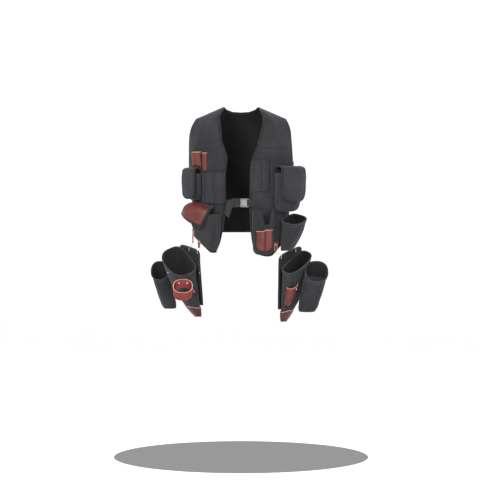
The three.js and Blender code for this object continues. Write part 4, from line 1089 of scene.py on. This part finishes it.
def pouch_frame(pouch):
    facing = math.radians(pouch["facing"])
    away = (math.sin(facing), -math.cos(facing))
    hand = -math.copysign(1, pouch["facing"])
    along = (hand * math.cos(facing), hand * math.sin(facing))

    def place(u, w, z):
        out = w - pouch["lean"] * max(-z - pouch["top"], 0) / pouch["height"]
        return np.array([pouch["x"] + along[0] * u + away[0] * out,
                         pouch["y"] + along[1] * u + away[1] * out, z])

    return place


CONE = [
    dict(down=0.0, forward=0.0, width=1.0, depth=1.0, tilt=1.0),
    dict(down=0.2, forward=0.04, width=0.96, depth=0.93, tilt=0.85),
    dict(down=0.45, forward=0.17, width=0.82, depth=0.76, tilt=0.45),
    dict(down=0.68, forward=0.36, width=0.62, depth=0.56, tilt=0.15),
    dict(down=0.84, forward=0.53, width=0.43, depth=0.4, tilt=0.0),
    dict(down=0.94, forward=0.63, width=0.3, depth=0.28, tilt=0.0),
    dict(down=1.0, forward=0.68, width=0.18, depth=0.18, tilt=0.0),
]


def cone_point(pouch, down, turn, grow):
    rows = pouch.get("rows", CONE)
    forward, width, depth, tilt = (look_up(rows, "down", down, key)
                                   for key in ("forward", "width", "depth", "tilt"))
    half_width = pouch["halfWidth"] * width + grow
    half_depth = pouch["depth"] * depth / 2
    power = 2 / (4 if math.sin(turn) < 0 else 2.3)
    u = pouch["halfWidth"] * forward + half_width * signed_power(math.cos(turn), power)
    w = half_depth + (half_depth + grow) * signed_power(math.sin(turn), power)
    place = pouch_frame(pouch)
    middle = place(pouch["halfWidth"] * forward, half_depth, 0)
    point = place(u, w, -(pouch["top"] + pouch["height"] * down))
    point[2] += pouch["slope"] * tilt * (point[1] - middle[1])
    return point


TURNS = 64


def even_turns(count):
    return [2 * math.pi * (k + 0.5) / count for k in range(count)]


def cone(name, pouch, seed, cloth=BAG_CLOTH, crush=1.6):
    rim = 9 / pouch["height"]
    downs = [0, rim * 0.5, rim, rim * 1.12, *np.linspace(rim * 1.4, 1, 44)]
    outer = np.zeros((len(downs), TURNS, 3))
    inner = np.zeros_like(outer)
    for i, down in enumerate(downs):
        grow = RIM * (1 - step(rim, rim * 1.12, down))
        if i == 1:
            grow += 0.5
        for k, turn in enumerate(even_turns(TURNS)):
            point = cone_point(pouch, down, turn, grow)
            away = cone_point(pouch, down, turn, grow + 1) - point
            soft = min(down / 0.15, 1) * min((1 - down) / 0.2, 1)
            # The side towards the wearer lies flat on its back plate.
            if math.sin(turn) < -0.2:
                soft = 0
            wave = noise.fractal(Vector(point / 48) + Vector((seed, 0, 0)), 1.0, 2.0, 3)
            outer[i, k] = point + away * crush * soft * wave
            inside = min(down, 1 - 2 * cloth / pouch["height"])
            inner[i, k] = cone_point(pouch, inside, turn, -cloth) + away * crush * soft * wave
    piece = wall(name, outer, 0, [NYLON], ring=True, closed=True, inner=inner)
    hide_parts(name)
    return outer, ring_normals(outer)


def around_row(outer, normals, i):
    return (np.concatenate([outer[i], outer[i, :1]]), np.concatenate([normals[i], normals[i, :1]]))


rim_bands = []


def mark_rim(outer, normals):
    """Stitches and two bands round the rolled rim of a pouch."""
    stitched.append(around_row(outer, normals, 2))
    rim_bands.extend([around_row(outer, normals, 3), around_row(outer, normals, 0)])


def turn_column(outer, normals, degrees, first=0, last=None, sway=0.0):
    """Path down a pouch at a turn round it; sway carries it round as it falls, in degrees."""
    path, path_normals = [], []
    rows = range(len(outer))[first:last]
    for n, i in enumerate(rows):
        at = degrees + sway * (n / len(rows)) ** 2
        k = (at / 360 * TURNS - 0.5) % TURNS
        a, b = int(k) % TURNS, (int(k) + 1) % TURNS
        path.append(lerp(outer[i, a], outer[i, b], k % 1))
        path_normals.append(lerp(normals[i, a], normals[i, b], k % 1))
    return np.array(path), np.array(path_normals)


side_seat = on_trunk(192, -418, ON_PANEL + RIM - GAP)
SIDE_POUCH_L = dict(
    x=side_seat[0], y=side_seat[1], facing=55, lean=-3, top=418, height=121, halfWidth=46,
    depth=80, slope=0.4, rows=[
        dict(down=0.0, forward=0.0, width=1.0, depth=1.0, tilt=1.0),
        dict(down=0.3, forward=0.1, width=0.98, depth=0.9, tilt=0.7),
        dict(down=0.6, forward=0.25, width=0.92, depth=0.72, tilt=0.3),
        dict(down=0.85, forward=0.38, width=0.8, depth=0.48, tilt=0.0),
        dict(down=1.0, forward=0.46, width=0.64, depth=0.3, tilt=0.0),
    ])
outer, normals = cone("side_pouch_l", SIDE_POUCH_L, 21, POCKET_CLOTH, 1.4)
mark_rim(outer, normals)
welts("side_pouch_l_seams", [turn_column(outer, normals, 62, 4, -3, -14),
                             turn_column(outer, normals, 8, 4, -3),
                             turn_column(outer, normals, 172, 4, -3)], 3.0, 0.9)

HIP_BAG_R = dict(x=-204, y=-35, facing=-58, top=583, height=210, halfWidth=75, depth=100,
                 slope=0.72, lean=18)
HIP_BAG_L = dict(x=196, y=-40, facing=53, top=586, height=226, halfWidth=75, depth=62,
                 slope=0.62, lean=4)
TIP_START = 0.82
BAG_BACK = [
    dict(down=0.0, rear=-0.94, front=0.94), dict(down=0.06, rear=-1.0, front=1.02),
    dict(down=0.4, rear=-0.94, front=1.03), dict(down=0.62, rear=-0.7, front=1.03),
    dict(down=0.82, rear=-0.3, front=1.03), dict(down=1.0, rear=0.06, front=1.02),
]
for side, bag, rear_top, front_top in (("r", HIP_BAG_R, 514, 536), ("l", HIP_BAG_L, 520, 556)):
    outer, normals = cone(f"hip_bag_{side}", bag, 31 if side == "r" else 37)
    mark_rim(outer, normals)
    welts(f"hip_bag_{side}_seams", [turn_column(outer, normals, 38, 4, -8, 10),
                                    turn_column(outer, normals, 150, 4, -8, -16)], 3.2, 0.9)
    # The leather tip: its top edge dips between two points.
    lift = GAP + 0.2
    tip_outer = np.zeros((24, TURNS, 3))
    tip_inner = np.zeros_like(tip_outer)
    for i in range(24):
        for k, turn in enumerate(even_turns(TURNS)):
            start = TIP_START + 0.028 * (0.5 - 0.5 * math.cos(2 * (turn - math.pi / 2)))
            down = lerp(start, 1, i / 23)
            pinch = 1.4 * math.exp(-((turn - math.radians(70)) / 0.12) ** 2)
            tip_outer[i, k] = cone_point(bag, down, turn, lift + LEATHER - 0.4 - pinch)
            tip_inner[i, k] = cone_point(bag, down, turn, lift)
    tip_outer[-1, :, 2] -= lift + LEATHER - 0.4
    tip_inner[-1, :, 2] -= lift
    tip = wall(f"hip_bag_tip_{side}", tip_outer, 0, [TIP_LEATHER, CUT_EDGE], edge=1,
               ring=True, closed=True, inner=tip_inner)
    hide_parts(f"hip_bag_tip_{side}")
    tip_normals = ring_normals(tip_outer)
    pale_stitched += [around_row(tip_outer, tip_normals, 1)]
    welts(f"hip_bag_tip_{side}_edge", [around_row(tip_outer, tip_normals, 0)], 1.9, 0.7, CUT_EDGE)
    # The back plate, with taped edges.
    place = pouch_frame(bag)
    rows, columns = 50, 28
    grid = np.zeros((rows, columns, 3))
    for i in range(rows):
        down = i / (rows - 1)
        rear, front = (look_up(BAG_BACK, "down", down, key) for key in ("rear", "front"))
        for k in range(columns):
            share = k / (columns - 1)
            round_top = 7 * (abs(2 * share - 1) ** 6) * (1 - down) ** 8
            top = lerp(rear_top, front_top, share) + round_top
            z = -lerp(top, bag["top"] + bag["height"] * 0.8, down)
            grid[i, k] = place(bag["halfWidth"] * lerp(rear, front, share), -(RIM + 2 * GAP), z)
    if side == "l":
        grid = grid[:, ::-1]
    normals = grid_normals(grid)
    plate = wall(f"hip_bag_back_{side}", grid, -BAG_CLOTH, [NYLON])
    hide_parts(f"hip_bag_back_{side}")
    front_column = -1 if side == "r" else 0
    for tag, column, other in (("front", front_column, -2 if side == "r" else 1),
                               ("rear", -1 - front_column, 1 if side == "r" else -2)):
        # Tape thickness is kept clear of the bag in front of the plate.
        tape(f"hip_bag_back_{side}_{tag}_edge", grid[:, column] - normals[:, column] * BAG_CLOTH,
             normals[:, column], unit(grid[:, other] - grid[:, column]), BAG_CLOTH - 0.4, 7.0, 0.7)
    tape(f"hip_bag_back_{side}_top_edge", grid[0, 1:-1] - normals[0, 1:-1] * BAG_CLOTH,
         normals[0, 1:-1], unit(grid[1] - grid[0])[1:-1], BAG_CLOTH - 0.4, 7.0, 0.7)

TUBE_LEVELS = [dict(down=0.0, width=1.0), dict(down=0.3, width=0.99), dict(down=0.65, width=0.94),
               dict(down=0.9, width=0.86), dict(down=1.0, width=0.74)]


def tube_point(tube, down, turn, grow, width=None):
    width = look_up(TUBE_LEVELS, "down", down, "width") if width is None else width
    middle = lerp(tube["mouth"], tube["end"], down)
    dx = (tube["halfWidth"] * width + grow) * signed_power(math.cos(turn), 2 / 2.4)
    dy = (tube["halfDepth"] * width + grow) * signed_power(math.sin(turn), 2 / 2.4)
    dz = tube["slope"] * dy * lerp(1, tube["endSlope"], down)
    return middle + np.array([dx, dy, dz])


def tube_pouch(name, tube, seed, crush=1.3):
    length = tube["mouth"][2] - tube["end"][2]
    rim = 9 / length
    downs = [0, rim * 0.5, rim, rim * 1.15, *np.linspace(rim * 1.5, 0.97, 34), 0.99, 1.0]
    outer = np.zeros((len(downs), TURNS, 3))
    inner = np.zeros_like(outer)
    for i, down in enumerate(downs):
        for k, turn in enumerate(even_turns(TURNS)):
            band = 0.9 * (1 - step(rim, rim * 1.15, down)) + (0.4 if i == 1 else 0)
            point = tube_point(tube, down, turn, 0)
            away = tube_point(tube, down, turn, 1) - point
            soft = min(down / 0.1, 1) * min((1 - down) / 0.15, 1)
            wave = noise.fractal(Vector(point / 45) + Vector((seed, 0, 0)), 1.0, 2.0, 3)
            crease = -2.2 * math.exp(-((turn - math.radians(215)) / 0.16) ** 2) * soft
            move = away * (crush * soft * wave + crease * (1 if seed == 41 else 0))
            inside = min(down, 1 - 1.5 * BAG_CLOTH / length)
            outer[i, k] = point + away * band + move
            inner[i, k] = tube_point(tube, inside, turn, -BAG_CLOTH) + move
    piece = wall(name, outer, 0, [NYLON], ring=True, closed=True, inner=inner)
    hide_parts(name)
    return outer, ring_normals(outer)


def beside_bag(bag, turn, stand, z):
    point = cone_point(bag, 0, math.radians(turn), stand)
    point[2] = z
    return point


tube_mouth = beside_bag(HIP_BAG_R, 145, 33 - 20.3, -619)
TUBE_HOLSTER_R = dict(halfWidth=33, halfDepth=33, slope=1.05, endSlope=0.1, mouth=tube_mouth,
                      end=tube_mouth + [40, -6, -145])
outer, normals = tube_pouch("tube_holster_r", TUBE_HOLSTER_R, 41)
mark_rim(outer, normals)
stitched += [turn_column(outer, normals, 262, 4, -3)]
welts("tube_holster_r_seams", [turn_column(outer, normals, 195, 4, -2)], 3.0, 0.8)
outer_mouth = beside_bag(HIP_BAG_L, 98, 43 + RIM + GAP, -620)
OUTER_POUCH_L = dict(halfWidth=43, halfDepth=38, slope=1.0, endSlope=0.1, mouth=outer_mouth,
                     end=outer_mouth + [-38, 6, -154])
outer, normals = tube_pouch("outer_pouch_l", OUTER_POUCH_L, 47)
mark_rim(outer, normals)
welts("rim_bands", rim_bands, 3.4, 1.7, RIM_CLOTH)
welts("outer_pouch_l_seams", [turn_column(outer, normals, 296, 4, -2, 6)], 3.2, 0.9)
# A cloth flap inside the mouth divides the pouch.
DIVIDER = dict(turn=172, endTurn=338, side=-10, middle=-24, top=0.06, length=0.5, crown=4)
rows, columns = 14, 20
divider = np.zeros((rows, columns, 3))
for i in range(rows):
    down = DIVIDER["top"] + DIVIDER["length"] * i / (rows - 1)
    for k in range(columns):
        share = k / (columns - 1)
        arch = math.sin(math.pi * share)
        turn = math.radians(lerp(DIVIDER["turn"], DIVIDER["endTurn"], share))
        bow = lerp(DIVIDER["side"], DIVIDER["middle"], arch)
        divider[i, k] = tube_point(OUTER_POUCH_L, down, turn, bow)
        divider[i, k, 2] += DIVIDER["crown"] * arch * (1 - i / (rows - 1))
wall("outer_pouch_l_divider", divider, 1.6, [NYLON])

TOOL_RING_R = dict(mouth=np.array([-224, -159.4, -673.0]), end=np.array([-224, -157, -704.0]),
                   halfWidth=38, halfDepth=30, slope=0.85, endSlope=1)
ring_outer = np.zeros((16, 72, 3))
ring_inner = np.zeros_like(ring_outer)
for i in range(16):
    down = i / 15
    for k, turn in enumerate(even_turns(72)):
        ring_outer[i, k] = tube_point(TOOL_RING_R, down, turn, 0, 1 - 0.06 * down)
        ring_inner[i, k] = tube_point(TOOL_RING_R, down, turn, -LEATHER, 1 - 0.06 * down)
ring = wall("leather_tool_ring_r", ring_outer, 0, [RING_LEATHER, CUT_EDGE], edge=1,
            ring=True, inner=ring_inner)
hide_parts("leather_tool_ring_r")
rim_path = np.concatenate([ring_outer[0], ring_outer[0, :1]]) * 0.5
rim_path += np.concatenate([ring_inner[0], ring_inner[0, :1]]) * 0.5
welts("leather_tool_ring_r_edge", [(rim_path, np.tile([0.0, 0.0, 1.0], (73, 1)))], 3.4, 0.9,
      CUT_EDGE)


def cone_patch(bag, patch, rows=26, columns=24, lift=0.0):
    grid = np.zeros((rows, columns + 1, 3))
    for i in range(rows):
        share = i / (rows - 1)
        narrow = math.sqrt(max(1 - share ** patch["taper"], 0))
        stand = patch["depth"] * max(1 - share ** 4, 0) ** 0.5
        for j in range(columns + 1):
            across = -math.cos(math.pi * j / columns)
            middle = lerp(patch["turn"], patch["endTurn"], share)
            turn = middle + patch["halfTurn"] * across * lerp(patch["endWidth"], 1, narrow)
            bulge = stand * math.sqrt(max(1 - across ** 2, 0))
            down = lerp(patch["top"], patch["bottom"], share)
            if patch["depth"]:
                down -= 0.03 * (1 - share) * (across > 0) * across
            grid[i, j] = cone_point(bag, down, math.radians(turn),
                                    patch["lift"] + bulge + lift)
    return grid[:, ::-1] if patch["mirror"] else grid


PLIER_HOLSTER_L = dict(turn=42, endTurn=44, halfTurn=26, top=0.3, bottom=0.72, depth=15, taper=3,
                       endWidth=0.25, lift=GAP + 0.3, mirror=False)
grid = cone_patch(HIP_BAG_L, PLIER_HOLSTER_L, lift=1.2)
holster = wall("plier_holster_l", grid, THIN_LEATHER, [BURGUNDY, CUT_EDGE], edge=1)
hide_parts("plier_holster_l")
face, normals = lifted(grid, THIN_LEATHER)
pale_stitched += [along_column(face, normals, 2, 1, -2), along_column(face, normals, -3, 1, -2)]
welts("plier_holster_l_edge", [along_column(face, normals, 0, 0, -1),
                               along_column(face, normals, -1, 0, -1),
                               along_row(face, normals, 0)], 1.8, 0.6, CUT_EDGE)
STRIP_R = dict(turn=7, endTurn=3, halfTurn=5, top=0.2, bottom=0.5, depth=0, taper=60, endWidth=1,
               lift=GAP + 0.3, mirror=True)
grid = cone_patch(HIP_BAG_R, STRIP_R, lift=1.4)
strip = wall("leather_strip_r", grid, LEATHER - 0.8, [BURGUNDY, CUT_EDGE], edge=1)
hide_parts("leather_strip_r")
face, normals = lifted(grid, LEATHER - 0.8)
welts("leather_strip_r_edge", [along_column(face, normals, 0), along_column(face, normals, -1)],
      2.6, 1.0, CUT_EDGE)


# Front strap, slider and buckle.
STRAP_LEVEL = 353
STRAP_WIDTH = 25
BEHIND_PANEL = -(WEBBING + GAP)
BAR = 3
SLOT = 5.5
SLIDER_MIDDLE, SLIDER_WIDTH, SLIDER_THICK, SLIDER_OUT = -26.5, 3 * BAR + 2 * SLOT, 2, 2.9
SLIDER_START = SLIDER_MIDDLE - SLIDER_WIDTH / 2
SLIDER_END = SLIDER_MIDDLE + SLIDER_WIDTH / 2
OVER_SLIDER = SLIDER_OUT + SLIDER_THICK + 3 * GAP
UNDER_SLIDER = 0.2
BEND_ROOM = WEBBING + GAP
MALE_START = SLIDER_END + 0.8
MALE_WIDTH, FEMALE_WIDTH, FEMALE_THICK, FEMALE_OUT = 12, 34, 11, 0.8
FEMALE_START = MALE_START + MALE_WIDTH + GAP
FEMALE_END = FEMALE_START + FEMALE_WIDTH
OVER_FEMALE = FEMALE_OUT + FEMALE_THICK + 5 * GAP


def webbing(name, stations, material=None):
    """Webbing across the front, through stations of (girth, out)."""
    rows, spans = 12, 6
    line = []
    for (g0, o0), (g1, o1) in zip(stations[:-1], stations[1:]):
        line += [(lerp(g0, g1, k / spans), lerp(o0, o1, k / spans)) for k in range(spans)]
    line.append(stations[-1])
    grid = np.zeros((rows, len(line), 3))
    for i in range(rows):
        z = -(STRAP_LEVEL + STRAP_WIDTH * (i / (rows - 1) - 0.5))
        for j, (girth, out) in enumerate(line):
            grid[i, j] = on_trunk(girth, z, out)
    piece = wall(name, grid, WEBBING, [material or WEB])
    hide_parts(name)
    face, normals = lifted(grid, WEBBING)
    return face, normals


webbing("strap_r", [
    (-86, BEHIND_PANEL), (-64, BEHIND_PANEL), (-52, -1), (SLIDER_START - 1, UNDER_SLIDER),
    (SLIDER_START + BAR + BEND_ROOM, UNDER_SLIDER), (SLIDER_MIDDLE - BAR / 2 - 2 * GAP, OVER_SLIDER),
    (SLIDER_MIDDLE + BAR / 2 + 2 * GAP, OVER_SLIDER), (SLIDER_END - BAR - BEND_ROOM, UNDER_SLIDER),
    (SLIDER_END - 1, UNDER_SLIDER),
])
face, normals = webbing("strap_l", [
    (FEMALE_END - 6, OVER_FEMALE), (FEMALE_END, OVER_FEMALE), (FEMALE_END + 3.5, OVER_FEMALE - 2),
    (FEMALE_END + 5.5, FEMALE_THICK / 2), (FEMALE_END + 9, ON_PANEL + GAP),
    (FEMALE_END + 21, ON_PANEL + GAP),
])
stitched += [along_column(face, normals, -4, 1, -1), along_column(face, normals, -9, 1, -1)]

TAIL = [
    dict(row=0, x=-34, z=-342, out=OVER_SLIDER + WEBBING + 2 * GAP, turn=-8),
    dict(row=1, x=-40, z=-354, out=OVER_SLIDER + 5, turn=-14),
    dict(row=2, x=-46, z=-372, out=OVER_SLIDER + 9, turn=-24),
    dict(row=3, x=-50, z=-390, out=OVER_SLIDER + 10, turn=-36),
    dict(row=4, x=-55, z=-403, out=OVER_SLIDER + 8, turn=-50),
]
TAIL_WIDTH = 24
rows, columns = 30, 10
grid = np.zeros((rows, columns, 3))
for i in range(rows):
    at = TAIL[-1]["row"] * i / (rows - 1)
    x, z, out, turn = (look_up(TAIL, "row", at, key) for key in ("x", "z", "out", "turn"))
    for k in range(columns):
        across = TAIL_WIDTH * (k / (columns - 1) - 0.5)
        grid[i, k] = on_trunk(x + across * math.cos(math.radians(turn)),
                              z + across * math.sin(math.radians(turn)), out)
tail = wall("strap_tail", grid, WEBBING, [WEB])
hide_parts("strap_tail")
tail_face, tail_normals = lifted(grid, WEBBING)
stitched += [along_row(tail_face, tail_normals, -4, 1, -1)]


def dressed(name, material):
    """A node of the frame that keeps its shape and takes a material."""
    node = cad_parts[name]
    node.data.materials.clear()
    node.data.materials.append(material)
    return node


for name, material, bevel in (("strap_slider", BLACK_PLASTIC, 0.0007),
                              ("buckle_male", BLACK_PLASTIC, 0.0012),
                              ("buckle_female", GREY_PLASTIC, 0.0018)):
    node = dressed(name, material)
    bend = node.modifiers.new("edges", "BEVEL")
    bend.width = bevel
    bend.segments = 3
    bend.limit_method = "ANGLE"
    bend.angle_limit = math.radians(50)
# Raised pad and grip ridges on the buckle's face.
low_corner, high_corner = (np.array(corner) * 1000 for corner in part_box("buckle_female"))
middle = (low_corner + high_corner) / 2
PAD = dict(half_width=10, half_height=11, stand=0.9, aside=1.5, steps=17)
pad = []
for i in range(PAD["steps"] + 1):
    row = []
    for j in range(PAD["steps"] + 1):
        a, b = 2 * i / PAD["steps"] - 1, 2 * j / PAD["steps"] - 1
        shape = max(1 - abs(a) ** 6, 0) ** 0.5 * max(1 - abs(b) ** 6, 0) ** 0.5
        row.append([middle[0] - PAD["aside"] + b * PAD["half_width"],
                    low_corner[1] - PAD["stand"] * shape, middle[2] - a * PAD["half_height"]])
    pad.append(row)
wall("buckle_female_face", np.array(pad) + [0, 0.7, 0], 0.6, [PALE_PLASTIC])
male_low = [value * 1000 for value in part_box("buckle_male")[0]]
welts("buckle_male_ridges", [
    (np.array([[male_low[0] + offset, male_low[1], middle[2] + z] for z in (-11, 0, 11)]),
     np.tile([0.0, -1.0, 0.0], (3, 1))) for offset in (7.2, 9.8)
], 1.2, 0.7, BLACK_PLASTIC)

# Leather tabs and hooks at the hem.
TAB_WIDTH = 12
TAB_ROWS = 16
TAB_COLUMNS = 7
CLIPS = [
    dict(name="front_r", girth=-170, top=496, bottom=528),
    dict(name="rear_r", girth=-212, top=452, bottom=510),
    dict(name="front_l", girth=136, top=506, bottom=542),
    dict(name="rear_l", girth=240, top=462, bottom=520),
]
tab_rivets = []
for clip in CLIPS:
    name = "clip_tab_" + clip["name"]
    grid = np.zeros((TAB_ROWS, TAB_COLUMNS, 3))
    for i in range(TAB_ROWS):
        down = i / (TAB_ROWS - 1)
        z = -lerp(clip["top"], clip["bottom"], down)
        width = TAB_WIDTH * (1 if down < 0.5 else lerp(1, 0.7, (down - 0.5) * 2))
        for k in range(TAB_COLUMNS):
            across = (k / (TAB_COLUMNS - 1) - 0.5) * width
            grid[i, k] = on_trunk(clip["girth"] + across, z, ON_PANEL + GAP)
    tab = wall(name, grid, LEATHER, [BURGUNDY, CUT_EDGE], edge=1)
    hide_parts(name)
    face, normals = lifted(grid, LEATHER)
    welts(name + "_edge", [along_column(face, normals, 0), along_column(face, normals, -1)], 1.8,
          0.5, CUT_EDGE)
    tab_rivets.append((face[4, 3], normals[4, 3]))
    node = dressed("hook_" + clip["name"], STEEL)
    smooth = node.modifiers.new("round", "SUBSURF")
    smooth.levels = 2
    smooth.render_levels = 2
rivets("tab_rivets", tab_rivets, 2.8, 1.3)

# Rivets of the bags.


def on_cone(bag, down, degrees, lift=0.2):
    point = cone_point(bag, down, math.radians(degrees), lift)
    return point, cone_point(bag, down, math.radians(degrees), lift + 1) - point


place = pouch_frame(HIP_BAG_R)
on_plate = place(72, 0.2 - RIM - 2 * GAP, -626)
off_plate = place(72, 1.2 - RIM - 2 * GAP, -626) - on_plate
rivets("hip_bag_rivets_r", [on_cone(HIP_BAG_R, 0.115, 90, 0.6), (on_plate, off_plate)], 3.2, 1.6)
ring_back = [tube_point(TOOL_RING_R, 0.35, math.radians(turn), -LEATHER, 0.98)
             for turn in (66, 114)]
rivets("tool_ring_rivets_r", [(p, np.array([0, -1.0, 0])) for p in ring_back], 2.8, 1.3)
rivets("plier_holster_rivets_l", [on_cone(HIP_BAG_L, 0.345, 60, 18.5)], 2.6, 1.2)

stitch_rows("stitches", stitched)
stitch_rows("leather_stitches", pale_stitched, 3.8, 2.7, 0.5, PALE_THREAD)

SHEETS = [
    dict(name="front_panel_r", held="hung"), dict(name="front_panel_l", held="hung"),
    dict(name="back_panel", held="hung"), dict(name="strap_tail", held="hung"),
    dict(name="small_flap_r", held="hung"), dict(name="big_flap_l", held="hung"),
    dict(name="lower_flap_r", held="hung", with_pieces=["leather_flap_panel_r"]),
]
for sheet in SHEETS:
    piece, width, length, area = cut_sizes[sheet["name"]]
    joined = [cut_sizes[name][0] for name in sheet.get("with_pieces", [])]


# Floor, light and camera.
world = bpy.data.worlds.new("studio")
bpy.context.scene.world = world
world.use_nodes = True
world.node_tree.nodes["Background"].inputs["Color"].default_value = (1, 1, 1, 1)
world.node_tree.nodes["Background"].inputs["Strength"].default_value = 0.45
mesh = bpy.data.meshes.new("floor")
# The floor rises in a wide curve to a wall all round, in metres.
FLOOR_LEVEL = -1.35
FLAT_RADIUS = 12
CURVE = 3
CURVE_STEPS = 12
WALL_TOP = 12
SIDES = 96
sweep = [(0.5, FLOOR_LEVEL), (4, FLOOR_LEVEL), (FLAT_RADIUS, FLOOR_LEVEL)]
for a in range(1, CURVE_STEPS + 1):
    rise = a * math.pi / 2 / CURVE_STEPS
    sweep.append((FLAT_RADIUS + CURVE * math.sin(rise), FLOOR_LEVEL + CURVE * (1 - math.cos(rise))))
sweep.append((FLAT_RADIUS + CURVE, WALL_TOP))
rounds = [(radius * math.cos(k * 2 * math.pi / SIDES), radius * math.sin(k * 2 * math.pi / SIDES), z)
          for radius, z in sweep for k in range(SIDES)]
walls = [(n * SIDES + k, n * SIDES + (k + 1) % SIDES, (n + 1) * SIDES + (k + 1) % SIDES,
          (n + 1) * SIDES + k) for n in range(len(sweep) - 1) for k in range(SIDES)]
mesh.from_pydata(rounds, [], [tuple(range(SIDES)), *walls])
for face in mesh.polygons:
    face.use_smooth = True
floor = bpy.data.objects.new("floor", mesh)
bpy.context.scene.collection.objects.link(floor)
floor_material, _tree, _shader = node_tree("pale floor", (0.86, 0.86, 0.86), 0.9)
_shader.inputs["Emission Color"].default_value = (1, 1, 1, 1)
_shader.inputs["Emission Strength"].default_value = 0.32
mesh.materials.append(floor_material)


def area_light(name, place, target, size, power):
    data = bpy.data.lights.new(name, "AREA")
    data.shape = "RECTANGLE"
    data.size = size[0]
    data.size_y = size[1]
    data.energy = power
    lamp = bpy.data.objects.new(name, data)
    lamp.location = place
    lamp.rotation_euler = (Vector(target) - Vector(place)).to_track_quat("-Z", "Y").to_euler()
    bpy.context.scene.collection.objects.link(lamp)


LIT_POINT = (0, 0, -0.4)
area_light("key", (-1.6, -3.2, 1.6), LIT_POINT, (1.4, 1.4), 120)
area_light("fill", (2.4, -2.8, 0.6), LIT_POINT, (2.0, 2.0), 45)
area_light("back", (0, 3.0, 1.2), LIT_POINT, (2.5, 1.5), 50)

TARGET = Vector((-0.004, 0, -0.499))
DISTANCE = 8
ELEVATION = math.radians(1.2)
FRAME_WIDTH = 1.885
SENSOR_WIDTH = 36
camera_data = bpy.data.cameras.new("camera")
camera_data.sensor_width = SENSOR_WIDTH
camera_data.lens = SENSOR_WIDTH * DISTANCE / FRAME_WIDTH
camera = bpy.data.objects.new("camera", camera_data)
camera.location = TARGET + Vector((0, -DISTANCE * math.cos(ELEVATION),
                                   DISTANCE * math.sin(ELEVATION)))
camera.rotation_euler = (TARGET - camera.location).to_track_quat("-Z", "Y").to_euler()
bpy.context.scene.collection.objects.link(camera)
bpy.context.scene.camera = camera
bpy.context.scene.view_settings.view_transform = "Standard"
